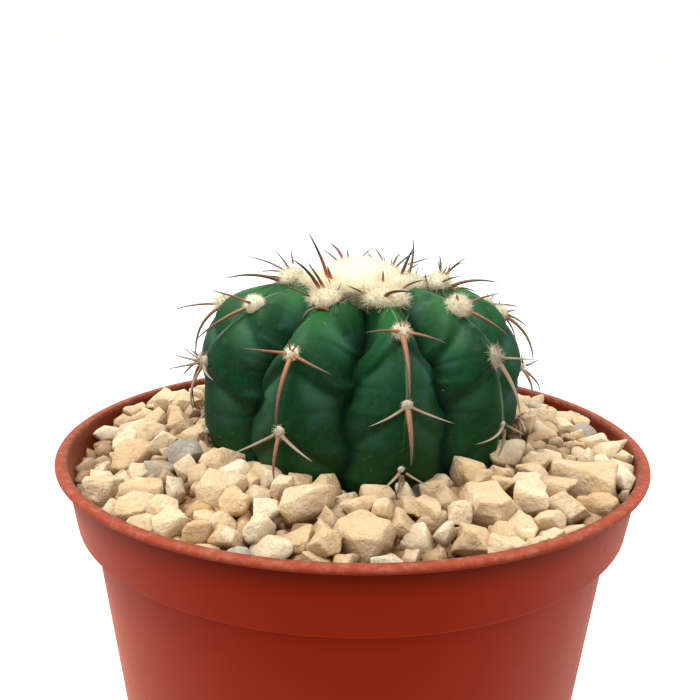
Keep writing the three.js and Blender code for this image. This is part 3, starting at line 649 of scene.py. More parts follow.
def set_attribute(mesh, name, values):
    """Stores one number for each vertex, or one vector if the values have three columns."""
    values = np.asarray(values, np.float32)
    kind, field = ("FLOAT_VECTOR", "vector") if values.ndim == 2 else ("FLOAT", "value")
    mesh.attributes.new(name, kind, "POINT").data.foreach_set(field, values.ravel())


def grid_faces(rows, columns):
    """Faces of a grid whose columns close on themselves."""
    return [(r * columns + c, r * columns + (c + 1) % columns, (r + 1) * columns + (c + 1) % columns,
             (r + 1) * columns + c) for r in range(rows - 1) for c in range(columns)]


def fan(centre, first, count, turned):
    """Faces between a point and the ring of points that starts at a number, the other way round if turned."""
    steps = (1, 0) if turned else (0, 1)
    return [(centre, *(first + (c + step) % count for step in steps)) for c in range(count)]


def capped_faces(rows, columns, falling=True):
    """Faces of a closed tube: its rings follow each other downwards if falling, then two points close its ends."""
    faces = grid_faces(rows, columns)
    if falling:
        faces = [face[::-1] for face in faces]
    end = rows * columns
    return faces + fan(end, 0, columns, not falling) + fan(end + 1, end - columns, columns, falling)


def rounded(corners, steps=4):
    """A closed profile of (radius, height, rounding) corners, with each corner rounded."""
    points = []
    count = len(corners)
    for i, (radius, height, rounding) in enumerate(corners):
        corner = Vector((radius, height))
        if rounding <= 0:
            points.append(corner)
            continue
        before = (Vector(corners[i - 1][:2]) - corner).normalized()
        after = (Vector(corners[(i + 1) % count][:2]) - corner).normalized()
        half = before.angle(after) / 2
        centre = corner + (before + after).normalized() * rounding / math.sin(half)
        start = (corner + before * rounding / math.tan(half) - centre).normalized()
        end = (corner + after * rounding / math.tan(half) - centre).normalized()
        for k in range(steps + 1):
            points.append(centre + start.slerp(end, k / steps) * rounding)
    return points


def lathe(profile, segments):
    """Vertices and faces of a profile that starts and ends on the axis, turned about it."""
    rings = profile[1:-1]
    angles = np.arange(segments) * TURN / segments
    vertices = [(p.x * math.sin(a), -p.x * math.cos(a), p.y) for p in rings for a in angles]
    vertices += [(0, 0, profile[0].y), (0, 0, profile[-1].y)]
    return vertices, capped_faces(len(rings), segments, falling=False)


def stand(piece, slot, *nodes):
    """Puts a finished piece on the part: it rides on the root body and stands for solids of it."""
    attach(piece, "root")
    if nodes:
        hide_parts(*nodes)


def smoothstep(value, low, high):
    """0 below low, 1 above high, and a smooth step between them. Low may be the greater."""
    share = np.clip((value - low) / (high - low), 0, 1)
    return share * share * (3 - 2 * share)


# Pot


def pot_plastic(pot):
    """Satin moulded plastic with fine scuffs, a little dust on the lip and painted shade on the inner wall."""
    finish = Finish("pot_plastic", Specular_IOR_Level=0.08, Specular_Tint=(1, 0.5, 0.2, 1), Sheen_Weight=0.35,
                    Sheen_Roughness=0.4, Sheen_Tint=(1, 0.34, 0.16, 1))
    scratches = finish.noise(0.5 * MM, 3, 0.6, finish.stretched(1, 1, 0.06)).smooth(0.56, 0.74)
    scuffs = finish.noise(4 * MM, 5, 0.7).smooth(0.56, 0.8)
    cloud = finish.noise(22 * MM, 2, 0.5)
    x, y, height = finish.split(finish.place)
    step = POT_HEIGHT - pot.collar_depth
    middle = pot.collar_foot_radius - pot.wall / 2
    flare = (pot.rim_radius - pot.lip_width - pot.collar_foot_radius + pot.wall) / pot.collar_depth
    depth = middle + (height - step) * flare - (x ** 2 + y ** 2) ** 0.5
    # Painted shade: the inner wall above the gravel is darkened.
    painted_inside_shade = depth.smooth(-0.3 * MM, 0.3 * MM) * height.smooth(step, POT_HEIGHT - 12 * MM)
    lip = height.smooth(POT_HEIGHT - 1.4 * MM, POT_HEIGHT - 0.2 * MM)
    dust = lip * finish.noise(1.6 * MM, 4, 0.65).smooth(0.42, 0.72)
    base = tuple(pot.colour)
    pale = tuple(0.8 * c + 0.2 * d for c, d in zip(base, linear(214, 128, 108)))
    tint = finish.layers(finish.mix(cloud * 0.15, base, pale), (painted_inside_shade * 0.85, (58, 15, 6)),
                         (scuffs * 0.03 + lip * 0.7, (136, 74, 54)), (dust * 0.14, (232, 190, 172)))
    relief = finish.bump(finish.noise(0.35 * MM, 2, 0.5), 0.012 * MM)
    relief = finish.bump(finish.noise(9 * MM, 1, 0.4), 0.12 * MM, relief)
    roughness = 0.36 + cloud * 0.08 + scuffs * 0.14 + scratches * 0.05 + lip * 0.2
    return finish.connect(Base_Color=tint, Roughness=roughness, Normal=relief)


def make_pot(pot):
    """The pot: a turned wall with its lip, collar, step, foot ring and drain holes."""
    step = POT_HEIGHT - pot.collar_depth
    bottom = pot.body_top_radius - pot.taper * step
    under = POT_HEIGHT - pot.lip_thickness
    inner_floor = pot.foot_height + pot.floor_thickness
    wall = pot.wall
    edge = 0.4 * MM
    profile = rounded([
        (0, pot.foot_height, 0),
        (bottom - pot.foot_width - edge, pot.foot_height, edge),
        (bottom - pot.foot_width, 0, edge / 2),
        (bottom, 0, 2 * edge),
        (pot.body_top_radius, step, edge / 2),
        (pot.collar_foot_radius, step, edge),
        (pot.collar_top_radius, under, edge),
        (pot.rim_radius, under, edge),
        (pot.rim_radius, POT_HEIGHT, 0.62 * MM),
        (pot.rim_radius - pot.lip_width, POT_HEIGHT, 0.5 * MM),
        (pot.collar_foot_radius - wall, step + wall, edge),
        (pot.body_top_radius - wall, step + wall, edge),
        (bottom - wall + pot.taper * inner_floor, inner_floor, 2 * edge),
        (0, inner_floor, 0),
    ])
    piece = new_piece("pot_shell", *lathe(profile, POT_SEGMENTS), pot_plastic(pot))
    drills = bmesh.new()
    for i in range(pot.drain_holes):
        angle = i * TURN / pot.drain_holes
        place = Matrix.Translation((pot.drain_circle * math.cos(angle), pot.drain_circle * math.sin(angle),
                                    inner_floor / 2))
        bmesh.ops.create_cone(drills, cap_ends=True, segments=32, radius1=pot.drain_radius,
                              radius2=pot.drain_radius, depth=2 * inner_floor, matrix=place)
    cutter = new_piece("drill", [], [])
    drills.to_mesh(cutter.data)
    drills.free()
    cut = piece.modifiers.new("drain holes", "BOOLEAN")
    cut.operation = "DIFFERENCE"
    cut.object = cutter
    settle(piece)
    bpy.data.objects.remove(cutter)
    stand(piece, "pot", "pot")


# Soil


def potting_mix():
    """Dark crumbs of potting mix with pale bits of grit."""
    finish = Finish("potting_mix", Roughness=0.95, Specular_IOR_Level=0.2)
    crumbs = finish.noise(1.6 * MM, 5, 0.7)
    tint = finish.ramp(crumbs, (0.3, linear(30, 20, 14)), (0.55, linear(72, 50, 34)), (0.75, linear(116, 88, 62)))
    tint = finish.layers(tint, (finish.specks(2.2 * MM).smooth(0.16, 0.1) * 0.8, (186, 168, 136)))
    return finish.connect(Base_Color=tint, Normal=finish.bump(crumbs, 0.9 * MM))


def make_soil():
    """The soil keeps its solid and gets its finish."""
    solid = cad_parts["soil"]
    solid.data.materials.clear()
    solid.data.materials.append(potting_mix())


# Stem


def crest_outline(stem):
    """The rib crests' outline from the crown down: running length, radius, height and outward normal."""
    angle = np.linspace(0, math.pi, OUTLINE_POINTS)
    above = np.cos(angle) > 0
    power = 2 / np.where(above, stem.shoulder_power, stem.base_power)
    reach = np.where(above, stem.crown_rise, stem.foot_drop) * np.sign(np.cos(angle))
    radius = stem.equator_radius * np.abs(np.sin(angle)) ** power
    height = stem.equator_height + reach * np.abs(np.cos(angle)) ** power
    kept = height > SOIL_TOP - 0.1 * MM
    radius, height = radius[kept], height[kept]
    steps = np.hypot(np.diff(radius), np.diff(height))
    run = np.concatenate([[0], np.cumsum(steps)])
    along_radius, along_height = np.gradient(radius, run), np.gradient(height, run)
    size = np.hypot(along_radius, along_height)
    return run, radius, height, -along_height / size, along_radius / size


def crest_azimuth(rib, run):
    """The azimuth of a rib's crest, counted on over a full turn for ribs before the first and after the last."""
    turns, rib = divmod(rib, len(RIBS))
    runs, azimuths = zip(*RIBS[rib])
    return np.radians(np.interp(run, np.array(runs) * MM, azimuths)) + turns * TURN


def lobe_share(rib, run, across):
    """The share of the way from the furrow under one areole, 0, to the next furrow, 1."""
    furrow, slant, spacing = 1.2 * MM, 19 * MM, 14 * MM
    areoles = np.array([place for place, _ in RIBS[rib % len(RIBS)]]) * MM
    marks = np.concatenate([[areoles[0] - spacing], areoles, [areoles[-1] + spacing, areoles[-1] + 3 * spacing]])
    place = run - furrow - slant * np.abs(across)
    below = np.clip(np.searchsorted(marks, place, side="right"), 1, len(marks) - 1)
    return np.clip((place - marks[below - 1]) / (marks[below] - marks[below - 1]), 0, 1)


def swelling(share):
    """How far a rib has swollen, 0 to about 1, at a share of the way from one areole to the next."""
    return 1.42 * share * (1 - share ** 9)


def rib_swell(rib):
    """A rib's swelling as a share of the usual."""
    return RIB_SWELL.get(rib % len(RIBS), 1)


def groove_push(rib, run):
    """How far the groove after a rib is pushed towards the next rib, as a share of the way between crests."""
    known = GROOVE_PUSH.get(rib % len(RIBS), ((0, 0),))
    runs, pushes = zip(*known)
    fuller = (swelling(lobe_share(rib, run, 0.5)) * rib_swell(rib)
              - swelling(lobe_share(rib + 1, run, 0.5)) * rib_swell(rib + 1))
    return np.interp(run, np.array(runs) * MM, pushes) + 0.07 * fuller * smoothstep(run, LOBES_FROM, LOBES_FULL)


def stem_surface(stem, rib, across, run):
    """Points of the stem: base point, outward direction, and what shapes the relief there."""
    outline = crest_outline(stem)
    radius, height, normal_radius, normal_height = (np.interp(run, outline[0], part) for part in outline[1:])
    before, crest, after = (crest_azimuth(rib + step, run) for step in (-1, 0, 1))
    wide = np.where(across < 0, (crest - before) * (1 - 2 * groove_push(rib - 1, run)),
                    (after - crest) * (1 + 2 * groove_push(rib, run)))
    azimuth = crest + across * wide
    reach, left, right = (RIB_REACH.get((rib + step) % len(RIBS), 1) for step in (0, -1, 1))
    radius = radius * (reach + np.abs(across) * (np.where(across < 0, left, right) - reach))
    base = np.stack([stem.offset + radius * np.sin(azimuth), -radius * np.cos(azimuth), height], axis=-1)
    outward = np.stack([normal_radius * np.sin(azimuth), -normal_radius * np.cos(azimuth), normal_height], axis=-1)
    total = outline[0][-1]
    depth = smoothstep(run, 2 * MM, 32 * MM) * (1 - 0.8 * smoothstep(run, 40 * MM, total))
    share = lobe_share(rib, run, across)
    swell = swelling(share) * smoothstep(run, LOBES_FROM, 30 * MM) * (1 - 0.45 * smoothstep(run, 36 * MM, 62 * MM))
    swell = swell * rib_swell(rib)
    return base, outward, np.abs(across) * 2 + 0 * run, depth + 0 * across, swell, share


def groove_profile(off, openness):
    """Depth of the groove at a share of the way from crest to groove: a slit at the crown, a valley lower down."""
    ridge = off ** 1.15
    slit = 0.45 * ridge + 0.55 - 0.55 * (1 - off ** 2.1) ** 0.7
    return slit + openness * (0.85 * ridge - slit)


def groove_openness(run):
    """How far the groove has opened, 0 for a slit and 1 for a valley."""
    return smoothstep(run, LOBES_FROM, 46 * MM)


def stem_point(stem, rib, run):
    """A point on a rib's crest, with its relief."""
    base, outward, _, _, swell, _ = stem_surface(stem, rib, np.zeros(1), np.full(1, run))
    return base[0] + outward[0] * swell[0] * stem.crest_swell


def areole_frame(stem, rib, areole):
    """An areole's place and its directions sideways, down the rib and out of the stem."""
    run = RIBS[rib][areole][0] * MM
    place = stem_point(stem, rib, run)
    down = stem_point(stem, rib, run + MM / 2) - stem_point(stem, rib, run - MM / 2)
    down /= np.linalg.norm(down)
    azimuth = math.radians(RIBS[rib][areole][1])
    side = np.array([math.cos(azimuth), math.sin(azimuth), 0])
    return place, side, down, np.cross(down, side)


def stem_skin(stem):
    """Waxy dark green skin: paler young crests, bluish bloom partly painted sheen, specks, painted highlights and
    shade.
    """
    finish = Finish("stem_skin", Specular_IOR_Level=0.15, Subsurface_Weight=0.06, Subsurface_Scale=0.6 * MM,
                    Subsurface_Radius=(0.5, 1, 0.35))
    off, young = finish.attribute("off"), finish.attribute("young")
    height = finish.split(finish.place)[2]
    cloud = finish.noise(9 * MM, 3, 0.55)
    fine = finish.noise(0.8 * MM, 3, 0.6)
    # A bluish waxy bloom, partly painted sheen.
    bloom_and_painted_sheen = finish.noise(6 * MM, 2, 0.5).smooth(0.5, 0.78) * off.smooth(0.1, 0.4) * off.smooth(0.95, 0.6)
    mottle = finish.noise(2.4 * MM, 4, 0.65).smooth(0.48, 0.72) * cloud.smooth(0.42, 0.62)
    # Painted highlight: a thin pale line along the rib's crest.
    painted_crest_highlight = off.smooth(0.035, 0.01) * finish.noise(15 * MM, 1, 0.4).smooth(0.45, 0.6)
    specks = finish.specks(3.4 * MM).smooth(0.055, 0.03) * finish.noise(5 * MM, 1, 0.4).smooth(0.56, 0.6)
    tint = finish.mix(cloud.smooth(0.3, 0.7) * 0.7, tuple(stem.colour), linear(8, 46, 26))
    tint = finish.mix(young * cloud.smooth(0.7, 0.3) * 0.6, tint, tuple(stem.young_colour))
    tint = finish.layers(
        tint,
        (bloom_and_painted_sheen * 0.42, (72, 116, 116)),
        (mottle * (0.12 + young * 0.3), (104, 136, 100)),
        # Painted shade under the lower end of each lobe.
        (finish.attribute("under") * 0.35, (5, 34, 24)),
        # Painted highlight on the top of each lobe.
        (finish.attribute("start") * (0.2 + cloud * 0.6), (72, 124, 94)),
        (height.smooth(POT_HEIGHT + 9 * MM, POT_HEIGHT + 2 * MM) * 0.25, (58, 100, 36)),
        # Painted shade: the stem is darker low down.
        (height.smooth(POT_HEIGHT + 20 * MM, POT_HEIGHT + 6 * MM) * 0.65, (10, 54, 20)),
        (painted_crest_highlight * 0.35, (150, 176, 120)),
        # Painted shade in the grooves.
        (off.smooth(0.78, 1) * 0.7, (6, 30, 18)),
        (fine.smooth(0.54, 0.76) * 0.13, (96, 140, 96)),
        (specks * 0.75, (214, 222, 206)),
    )
    relief = finish.bump(cloud, 0.25 * MM, finish.bump(fine, 0.03 * MM))
    roughness = 0.42 + cloud * 0.12 + specks * 0.3 + bloom_and_painted_sheen * 0.1 + off.smooth(0.8, 1) * 0.5
    return finish.connect(Base_Color=tint, Roughness=roughness, Normal=relief)


def relief_tree():
    """Lifts the stem's surface: grooves between the ribs, and swellings between the areoles."""
    tree = Growth("stem_relief", Groove_depth=7 * MM, Flank_swell=2.2 * MM, Crest_swell=0.9 * MM)
    off = tree.named("off")
    groove = groove_profile(off, tree.named("openness"))
    flank = (off * math.pi).math("SINE") * tree.input("Flank swell")
    ridge = (1 - off) * tree.input("Crest swell")
    cut = groove * tree.named("depth") * tree.input("Groove depth")
    lift = tree.named("swell") * (flank + ridge) - cut
    return tree.end(tree.moved(tree.source["Geometry"], tree.scaled(tree.named("outward", "FLOAT_VECTOR"), lift)))


def make_stem(stem):
    """The stem with its root, on a fine grid that follows the ribs."""
    per_rib, rows, first = 26, 190, 3 * MM
    total = crest_outline(stem)[0][-1]
    runs = np.linspace(first, total, rows)
    columns = []
    for rib in range(len(RIBS)):
        for step in np.linspace(-1, 1, per_rib, endpoint=False):
            across = np.sign(step) * (1 - (1 - abs(step)) ** 1.4) / 2
            columns.append(stem_surface(stem, rib, np.full(rows, across), runs))
    base, outward, off, depth, swell, share = (np.stack([c[i] for c in columns], axis=1) for i in range(6))
    young = smoothstep(runs, 46 * MM, 16 * MM)[:, None] * smoothstep(off, 1, 0.2)
    openness = groove_openness(runs)[:, None] + 0 * off
    lobed = smoothstep(runs, LOBES_FROM, LOBES_FULL)[:, None] * smoothstep(off, 0.06, 0.4)
    lobed = lobed * np.repeat([rib_swell(rib) for rib in range(len(RIBS))], per_rib)
    # Painted shade under each lobe, and a painted highlight on the next lobe's top.
    under = lobed * smoothstep(share, 0.6, 0.88) * smoothstep(share, 1, 0.93)
    start = lobed * smoothstep(share, 0, 0.12) * smoothstep(share, 0.5, 0.14) * smoothstep(off, 0.98, 0.6)
    count = len(columns)
    foot = base[-1].copy()
    centre = np.array([stem.offset, 0, 0])
    turned = (foot - centre) * (1, 1, 0)
    turned /= np.linalg.norm(turned, axis=1)[:, None]
    rings = [centre + turned * stem.root_radius + (0, 0, foot[0, 2]),
             centre + turned * stem.root_radius * 0.6 + (0, 0, ROOT_LOW)]
    vertices = np.concatenate([base.reshape(-1, 3), *rings, [base[0].mean(axis=0)], [centre + (0, 0, ROOT_LOW)]])
    piece = new_piece("stem", vertices, capped_faces(rows + 2, count))
    extra = 2 * count + 2
    for name, values in (("off", off), ("depth", depth), ("swell", swell), ("under", under), ("start", start),
                         ("young", young), ("openness", openness)):
        set_attribute(piece.data, name, np.concatenate([values.ravel(), np.zeros(extra)]))
    set_attribute(piece.data, "outward", np.concatenate([outward.reshape(-1, 3), np.zeros((extra, 3))]))
    grow(piece, relief_tree(), Material=stem_skin(stem), Groove_depth=stem.groove_depth,
         Flank_swell=stem.flank_swell, Crest_swell=stem.crest_swell)
    stand(piece, "cactus", "cactus")


# Spines


def spine_horn(spines):
    """Horny spines: red brown with dark tips when new, olive when young, brown when grown, grey beige when old."""
    finish = Finish("spine_horn", Specular_IOR_Level=0.45)
    along = finish.attribute("along")
    age = finish.attribute("age")
    grain = finish.noise(0.5 * MM, 3, 0.6)
    newest = finish.ramp(along, (0, linear(196, 98, 50)), (0.3, linear(152, 66, 36)), (0.6, linear(72, 60, 44)),
                         (0.85, linear(34, 58, 48)), (1, linear(40, 90, 76)))
    young = finish.ramp(along, (0, linear(168, 112, 62)), (0.3, linear(126, 92, 54)), (0.6, linear(88, 94, 54)),
                        (0.85, linear(56, 102, 80)), (1, linear(56, 114, 98)))
    grown = finish.ramp(along, (0, linear(176, 126, 76)), (0.25, tuple(spines.colour)),
                        (0.7, linear(114, 76, 64)), (1, linear(104, 84, 80)))
    old = finish.ramp(along, (0, linear(138, 108, 84)), (0.4, linear(164, 146, 122)), (1, linear(156, 144, 126)))
    tint = finish.mix(age.smooth(0.02, 0.2), newest, young)
    tint = finish.mix(age.smooth(0.2, 0.42), tint, grown)
    tint = finish.mix(age.smooth(0.48, 0.85), tint, old)
    tint = finish.mix(grain.smooth(0.5, 0.75) * 0.25, tint, linear(214, 184, 156))
    return finish.connect(Base_Color=tint, Roughness=0.4 + grain * 0.15, Normal=finish.bump(grain, 0.04 * MM))


def horn_tree():
    """Sweeps a flattened section along each path and thins it to a point."""
    tree = Growth("horns", Sides=7, Flatness=0.72)
    curves = tree.add("GeometryNodeMeshToCurve", None, {"Mesh": tree.source["Geometry"]}).outputs[0]
    along = tree.along()
    radius = tree.named("thickness") * ((1 - along) ** 0.62 * 0.97 + 0.03)
    kept = tree.add("GeometryNodeStoreNamedAttribute", {"data_type": "FLOAT", "domain": "POINT"},
                    {"Geometry": curves, "Name": "along", "Value": along}).outputs[0]
    flat = tree.vector(1.0, tree.source["Flatness"], 1.0)
    section = tree.add("GeometryNodeTransform", None,
                       {"Geometry": tree.ring(tree.source["Sides"], 1.0), "Scale": flat}).outputs[0]
    return tree.end(tree.smoothed(tree.swept(kept, section, radius)))


def curved_path(root, tip, bow, steps):
    """Points on a curve from root to tip that bows out by a vector."""
    share = np.linspace(0, 1, steps)[:, None]
    middle = (root + tip) / 2 + 2 * bow
    return (1 - share) ** 2 * root + 2 * share * (1 - share) * middle + share ** 2 * tip


def make_horns(name, paths, spines, node):
    """One piece of many spines, from (points, thickness, age)."""
    steps = spines.steps
    edges = [(i * steps + k, i * steps + k + 1) for i in range(len(paths)) for k in range(steps - 1)]
    piece = new_piece(name, np.concatenate([points for points, _, _ in paths]), [], edges=edges)
    set_attribute(piece.data, "thickness", np.repeat([thickness for _, thickness, _ in paths], steps))
    set_attribute(piece.data, "age", np.repeat([age for _, _, age in paths], steps))
    grow(piece, horn_tree(), Material=spine_horn(spines), Sides=spines.sides, Flatness=spines.flatness)
    stand(piece, "cactus", node)


def spine_age(rib, areole, radius):
    """A spine's age from 0 for the newest. Long spines at the sides stay young, and thick ones age more slowly."""
    if areole == 0 or rib in OUTER_RIBS and areole < 3 and radius > 0.4:
        return 0.2
    return areole / 2.6 * (0.72 if radius > 0.6 and areole == 2 else 1)


def make_spines(stem, spines):
    """The spines of every areole, and those in the crown's wool."""
    draw = np.random.default_rng(spines.seed)
    on_stem, on_crown = [], []
    for rib, areoles in enumerate(RIBS):
        for areole in range(len(areoles)):
            if areole == 0 and rib not in HIDDEN_RIBS:
                continue
            place, side, down, out = areole_frame(stem, rib, areole)
            known = KNOWN_SPINES.get((rib, areole))
            scale = 1 if known else (0.8, 1, 0.95, 0.7)[areole]
            for across, along, away, bow, radius in known or USUAL_SPINES:
                tip = np.array([across, along, away])
                if not known:
                    tip = tip * scale * draw.uniform(0.85, 1.15, 3) + draw.uniform(-0.6, 0.6, 3)
                    if areole == 0:
                        tip += (0, -0.4 * max(along, 0), 3)
                tip = place + (side * tip[0] + down * tip[1] + out * tip[2]) * MM
                reach = tip - place
                size = np.linalg.norm(reach)
                root = place + reach / size * 0.9 * MM + out * 0.5 * MM
                points = curved_path(root, tip, out * bow * size / 2, spines.steps)
                width = radius * (0.7 if radius > 0.6 else 1) * draw.uniform(0.92, 1.08)
                group = on_crown if areole == 0 else on_stem
                group.append((points, width * MM, spine_age(rib, areole, radius)))
    level = np.array([0, 0, POT_HEIGHT])
    for root, tip, (across, up), radius, age in CROWN_SPINES:
        root, tip = level + np.array(root) * MM, level + np.array(tip) * MM
        root = root - (tip - root) * 0.12
        points = curved_path(root, tip, np.array([across, 0, up]) * MM, spines.steps)
        on_crown.append((points, 1.3 * radius * MM, age))
    make_horns("stem_spines", on_stem, spines, "cactus")
    make_horns("crown_spines", on_crown, spines, "crown_wool")


# Wool


def plant_wool(wool, name, shade, mossy=False):
    """Matted wool: cream, darker where it is thin or old, and brownish green low down if it is mossy.

    Its faint glow stands for the light that is scattered among the hairs.
    """
    finish = Finish(name, Roughness=0.9, Specular_IOR_Level=0.1, Sheen_Weight=0.4, Sheen_Roughness=0.6,
                    Sheen_Tint=(1, 0.97, 0.88, 1), Emission_Strength=0.05, Emission_Color=(1, 0.93, 0.72, 1))
    tufts = finish.noise(1.5 * MM, 4, 0.6)
    height = finish.split(finish.place)[2]
    matted = height.smooth(wool.top - 3 * MM, wool.skirt_level) * 0.4
    tint = finish.mix(tufts.smooth(0.58, 0.3) * 0.35 + matted, tuple(wool.colour), shade)
    if mossy:
        low = height.smooth(wool.skirt_level + 0.8 * MM, wool.skirt_level - 1 * MM)
        tint = finish.layers(tint, (low * 0.9, (104, 86, 32)))
    return finish.connect(Base_Color=tint, Normal=finish.bump(finish.noise(0.3 * MM, 3, 0.6), 0.2 * MM))


def fleece_tree():
    """Roughens a body of wool and sets hairs on it, each a thin bent strand that leans its own way."""
    tree = Growth("fleece", Lumps=0.5 * MM, Lump_size=1.6 * MM, Hair_density=1e6, Hair_length=1.5 * MM,
                  Hair_thickness=0.08 * MM, Lean=0.9, Seed=1)
    normal = tree.add("GeometryNodeInputNormal").outputs[0]
    lumps = tree.add("ShaderNodeTexNoise", None, {"Scale": 1 / tree.input("Lump size"), "Detail": 3.0})
    lift = (Value(tree, lumps.outputs["Fac"]) - 0.5) * 2 * tree.input("Lumps")
    body = tree.moved(tree.finished(tree.source["Geometry"]), tree.scaled(normal, lift))
    density = tree.input("Hair density") * tree.split(normal)[2].smooth(-0.9, -0.3)
    spots, upwards = tree.scattered(body, density)
    size = tree.input("Hair length")
    ends = [tree.vector(x * size, 0.0, z * size) for x, z in ((0, -0.15), (0.1, 0.6), (0.55, 0.85))]
    strand = tree.add("GeometryNodeCurveQuadraticBezier", None,
                      {"Resolution": 1, "Start": ends[0], "Middle": ends[1], "End": ends[2]}).outputs[0]
    hair = tree.finished(tree.swept(strand, tree.ring(3, tree.source["Hair thickness"]), 1 - tree.along() * 0.85))
    upright = tree.add("FunctionNodeAlignRotationToVector", {"axis": "Z"}, {"Vector": upwards}).outputs[0]
    most = tree.vector(tree.input("Lean"), tree.input("Lean"), math.pi)
    turn = tree.add("FunctionNodeEulerToRotation", None,
                    {"Euler": tree.random(tree.scaled(most, -1.0), most)}).outputs[0]
    way = tree.add("FunctionNodeRotateRotation", {"rotation_space": "LOCAL"},
                   {"Rotation": upright, "Rotate By": turn}).outputs[0]
    hairs = tree.copies(spots, hair, way, tree.random(0.5, 1.25, 1) * tree.named("hair"))
    return tree.end(tree.smoothed(tree.joined(body, hairs)))


def blob(centre, axes, rings=8, segments=14):
    """Vertices and faces of a closed ellipsoid with three half axes given as vectors."""
    angle = np.linspace(0, math.pi, rings)[1:-1]
    turn = np.arange(segments) * TURN / segments
    across, over, up = axes
    points = [centre + up * math.cos(a) + (across * math.cos(t) + over * math.sin(t)) * math.sin(a)
              for a in angle for t in turn]
    return points + [centre + up, centre - up], capped_faces(len(angle), segments)


def merge_parts(parts):
    """Joins lists of vertices and faces into one."""
    vertices, faces = [], []
    for points, sides in parts:
        start = len(vertices)
        vertices += list(points)
        faces += [tuple(start + i for i in face) for face in sides]
    return vertices, faces


def wool_pad(stem, wool, rib, areole):
    """An areole's pad of wool: vertices, faces and the length of its hairs in millimetres."""
    place, side, down, out = areole_frame(stem, rib, areole)
    width, along, height, hair = KNOWN_PADS.get((rib, areole), USUAL_PADS[areole])
    size = wool.pad_size * MM
    points, faces = blob(place + out * 0.2 * height * size, (down * along * size, side * width * size,
                                                              out * height * size))
    return points, faces, hair


def wool_piece(name, parts, material, wool, fleece, density, lumps, seed):
    """One piece of many pads, with hairs on them."""
    piece = new_piece(name, *merge_parts([part[:2] for part in parts]), material)
    set_attribute(piece.data, "hair", np.concatenate([np.full(len(part[0]), part[2]) for part in parts]))
    grow(piece, fleece, Material=material, Lumps=lumps, Lump_size=0.9 * MM, Hair_density=density,
         Hair_length=1 * MM, Hair_thickness=wool.hair_thickness, Lean=1.0, Seed=seed)
    stand(piece, "crown_wool", "cactus")


def make_pads(stem, wool, fleece):
    """The pads of wool at the areoles, the upper ones full and the lower ones worn."""
    fresh = plant_wool(wool, "areole_wool", linear(250, 236, 204))
    worn = plant_wool(wool, "old_areole_wool", linear(126, 98, 74))
    for order, name, share, material in ((1, "upper_pads", 1, fresh), (2, "middle_pads", 0.8, worn),
                                         (3, "lower_pads", 0.6, worn)):
        parts = [wool_pad(stem, wool, rib, order) for rib in range(len(RIBS)) if order < len(RIBS[rib])]
        wool_piece(name, parts, material, wool, fleece, wool.pad_hairs * share, 0.25 * share * MM, 20 + order)


def make_crown_wool(stem, wool, fleece):
    """The cap of wool on the crown, and the matted wool and youngest pads round it."""
    rings, segments = 30, 72
    share = np.linspace(0, 1, rings)[1:, None]
    turn = np.arange(segments)[None] * TURN / segments
    edge = 0.62
    on_dome = np.minimum(1, share / edge)
    radius = wool.dome_radius * np.sin(0.5 * math.pi * on_dome)
    skirt = wool.skirt_radius + wool.skirt_front * smoothstep(-np.sin(turn), 0.4, 0.95) - wool.dome_radius
    radius = radius + skirt * np.maximum(0, share - edge) / (1 - edge)
    ripple = 1 + 0.04 * np.sin(3 * turn + 1) + 0.05 * np.sin(5 * turn + 4 * share) + 0.04 * np.sin(9 * turn)
    foot = wool.top - wool.dome_height
    height = wool.top - wool.dome_height * (1 - np.cos(0.5 * math.pi * on_dome))
    height = height + (wool.skirt_level - foot) * np.maximum(0, share - edge) / (1 - edge) + 0 * turn
    top = np.stack([stem.offset + radius * ripple * np.cos(turn), radius * ripple * np.sin(turn), height], axis=-1)
    top = top.reshape(-1, 3)
    thickness = 3.4 * MM
    under = top[-segments:] - (0, 0, thickness)
    middle = np.array([[stem.offset, 0, wool.top], [stem.offset, 0, under[0, 2]]])
    points = np.concatenate([top, under, middle])
    bright = plant_wool(wool, "crown_wool_finish", linear(250, 232, 190))
    felt = plant_wool(wool, "crown_felt", linear(250, 232, 190), mossy=True)
    piece = new_piece("crown_fleece", points, capped_faces(rings, segments), felt)
    rim = 1 + 1.2 * smoothstep(share, 0.75, 1) + 0 * turn
    set_attribute(piece.data, "hair", np.concatenate([rim.ravel(), np.full(segments + 2, 2.2)]))
    grow(piece, fleece, Material=felt, Lumps=0.45 * MM, Lump_size=2.4 * MM, Hair_density=wool.crown_hairs,
         Hair_length=wool.hair_length, Hair_thickness=wool.hair_thickness, Lean=0.9, Seed=31)
    stand(piece, "crown_wool", "crown_wool")
    pads = [wool_pad(stem, wool, rib, 0) for rib in range(len(RIBS))]
    wool_piece("crown_pads", pads, bright, wool, fleece, wool.pad_hairs * 0.45, 0.4 * MM, 32)


# Gravel


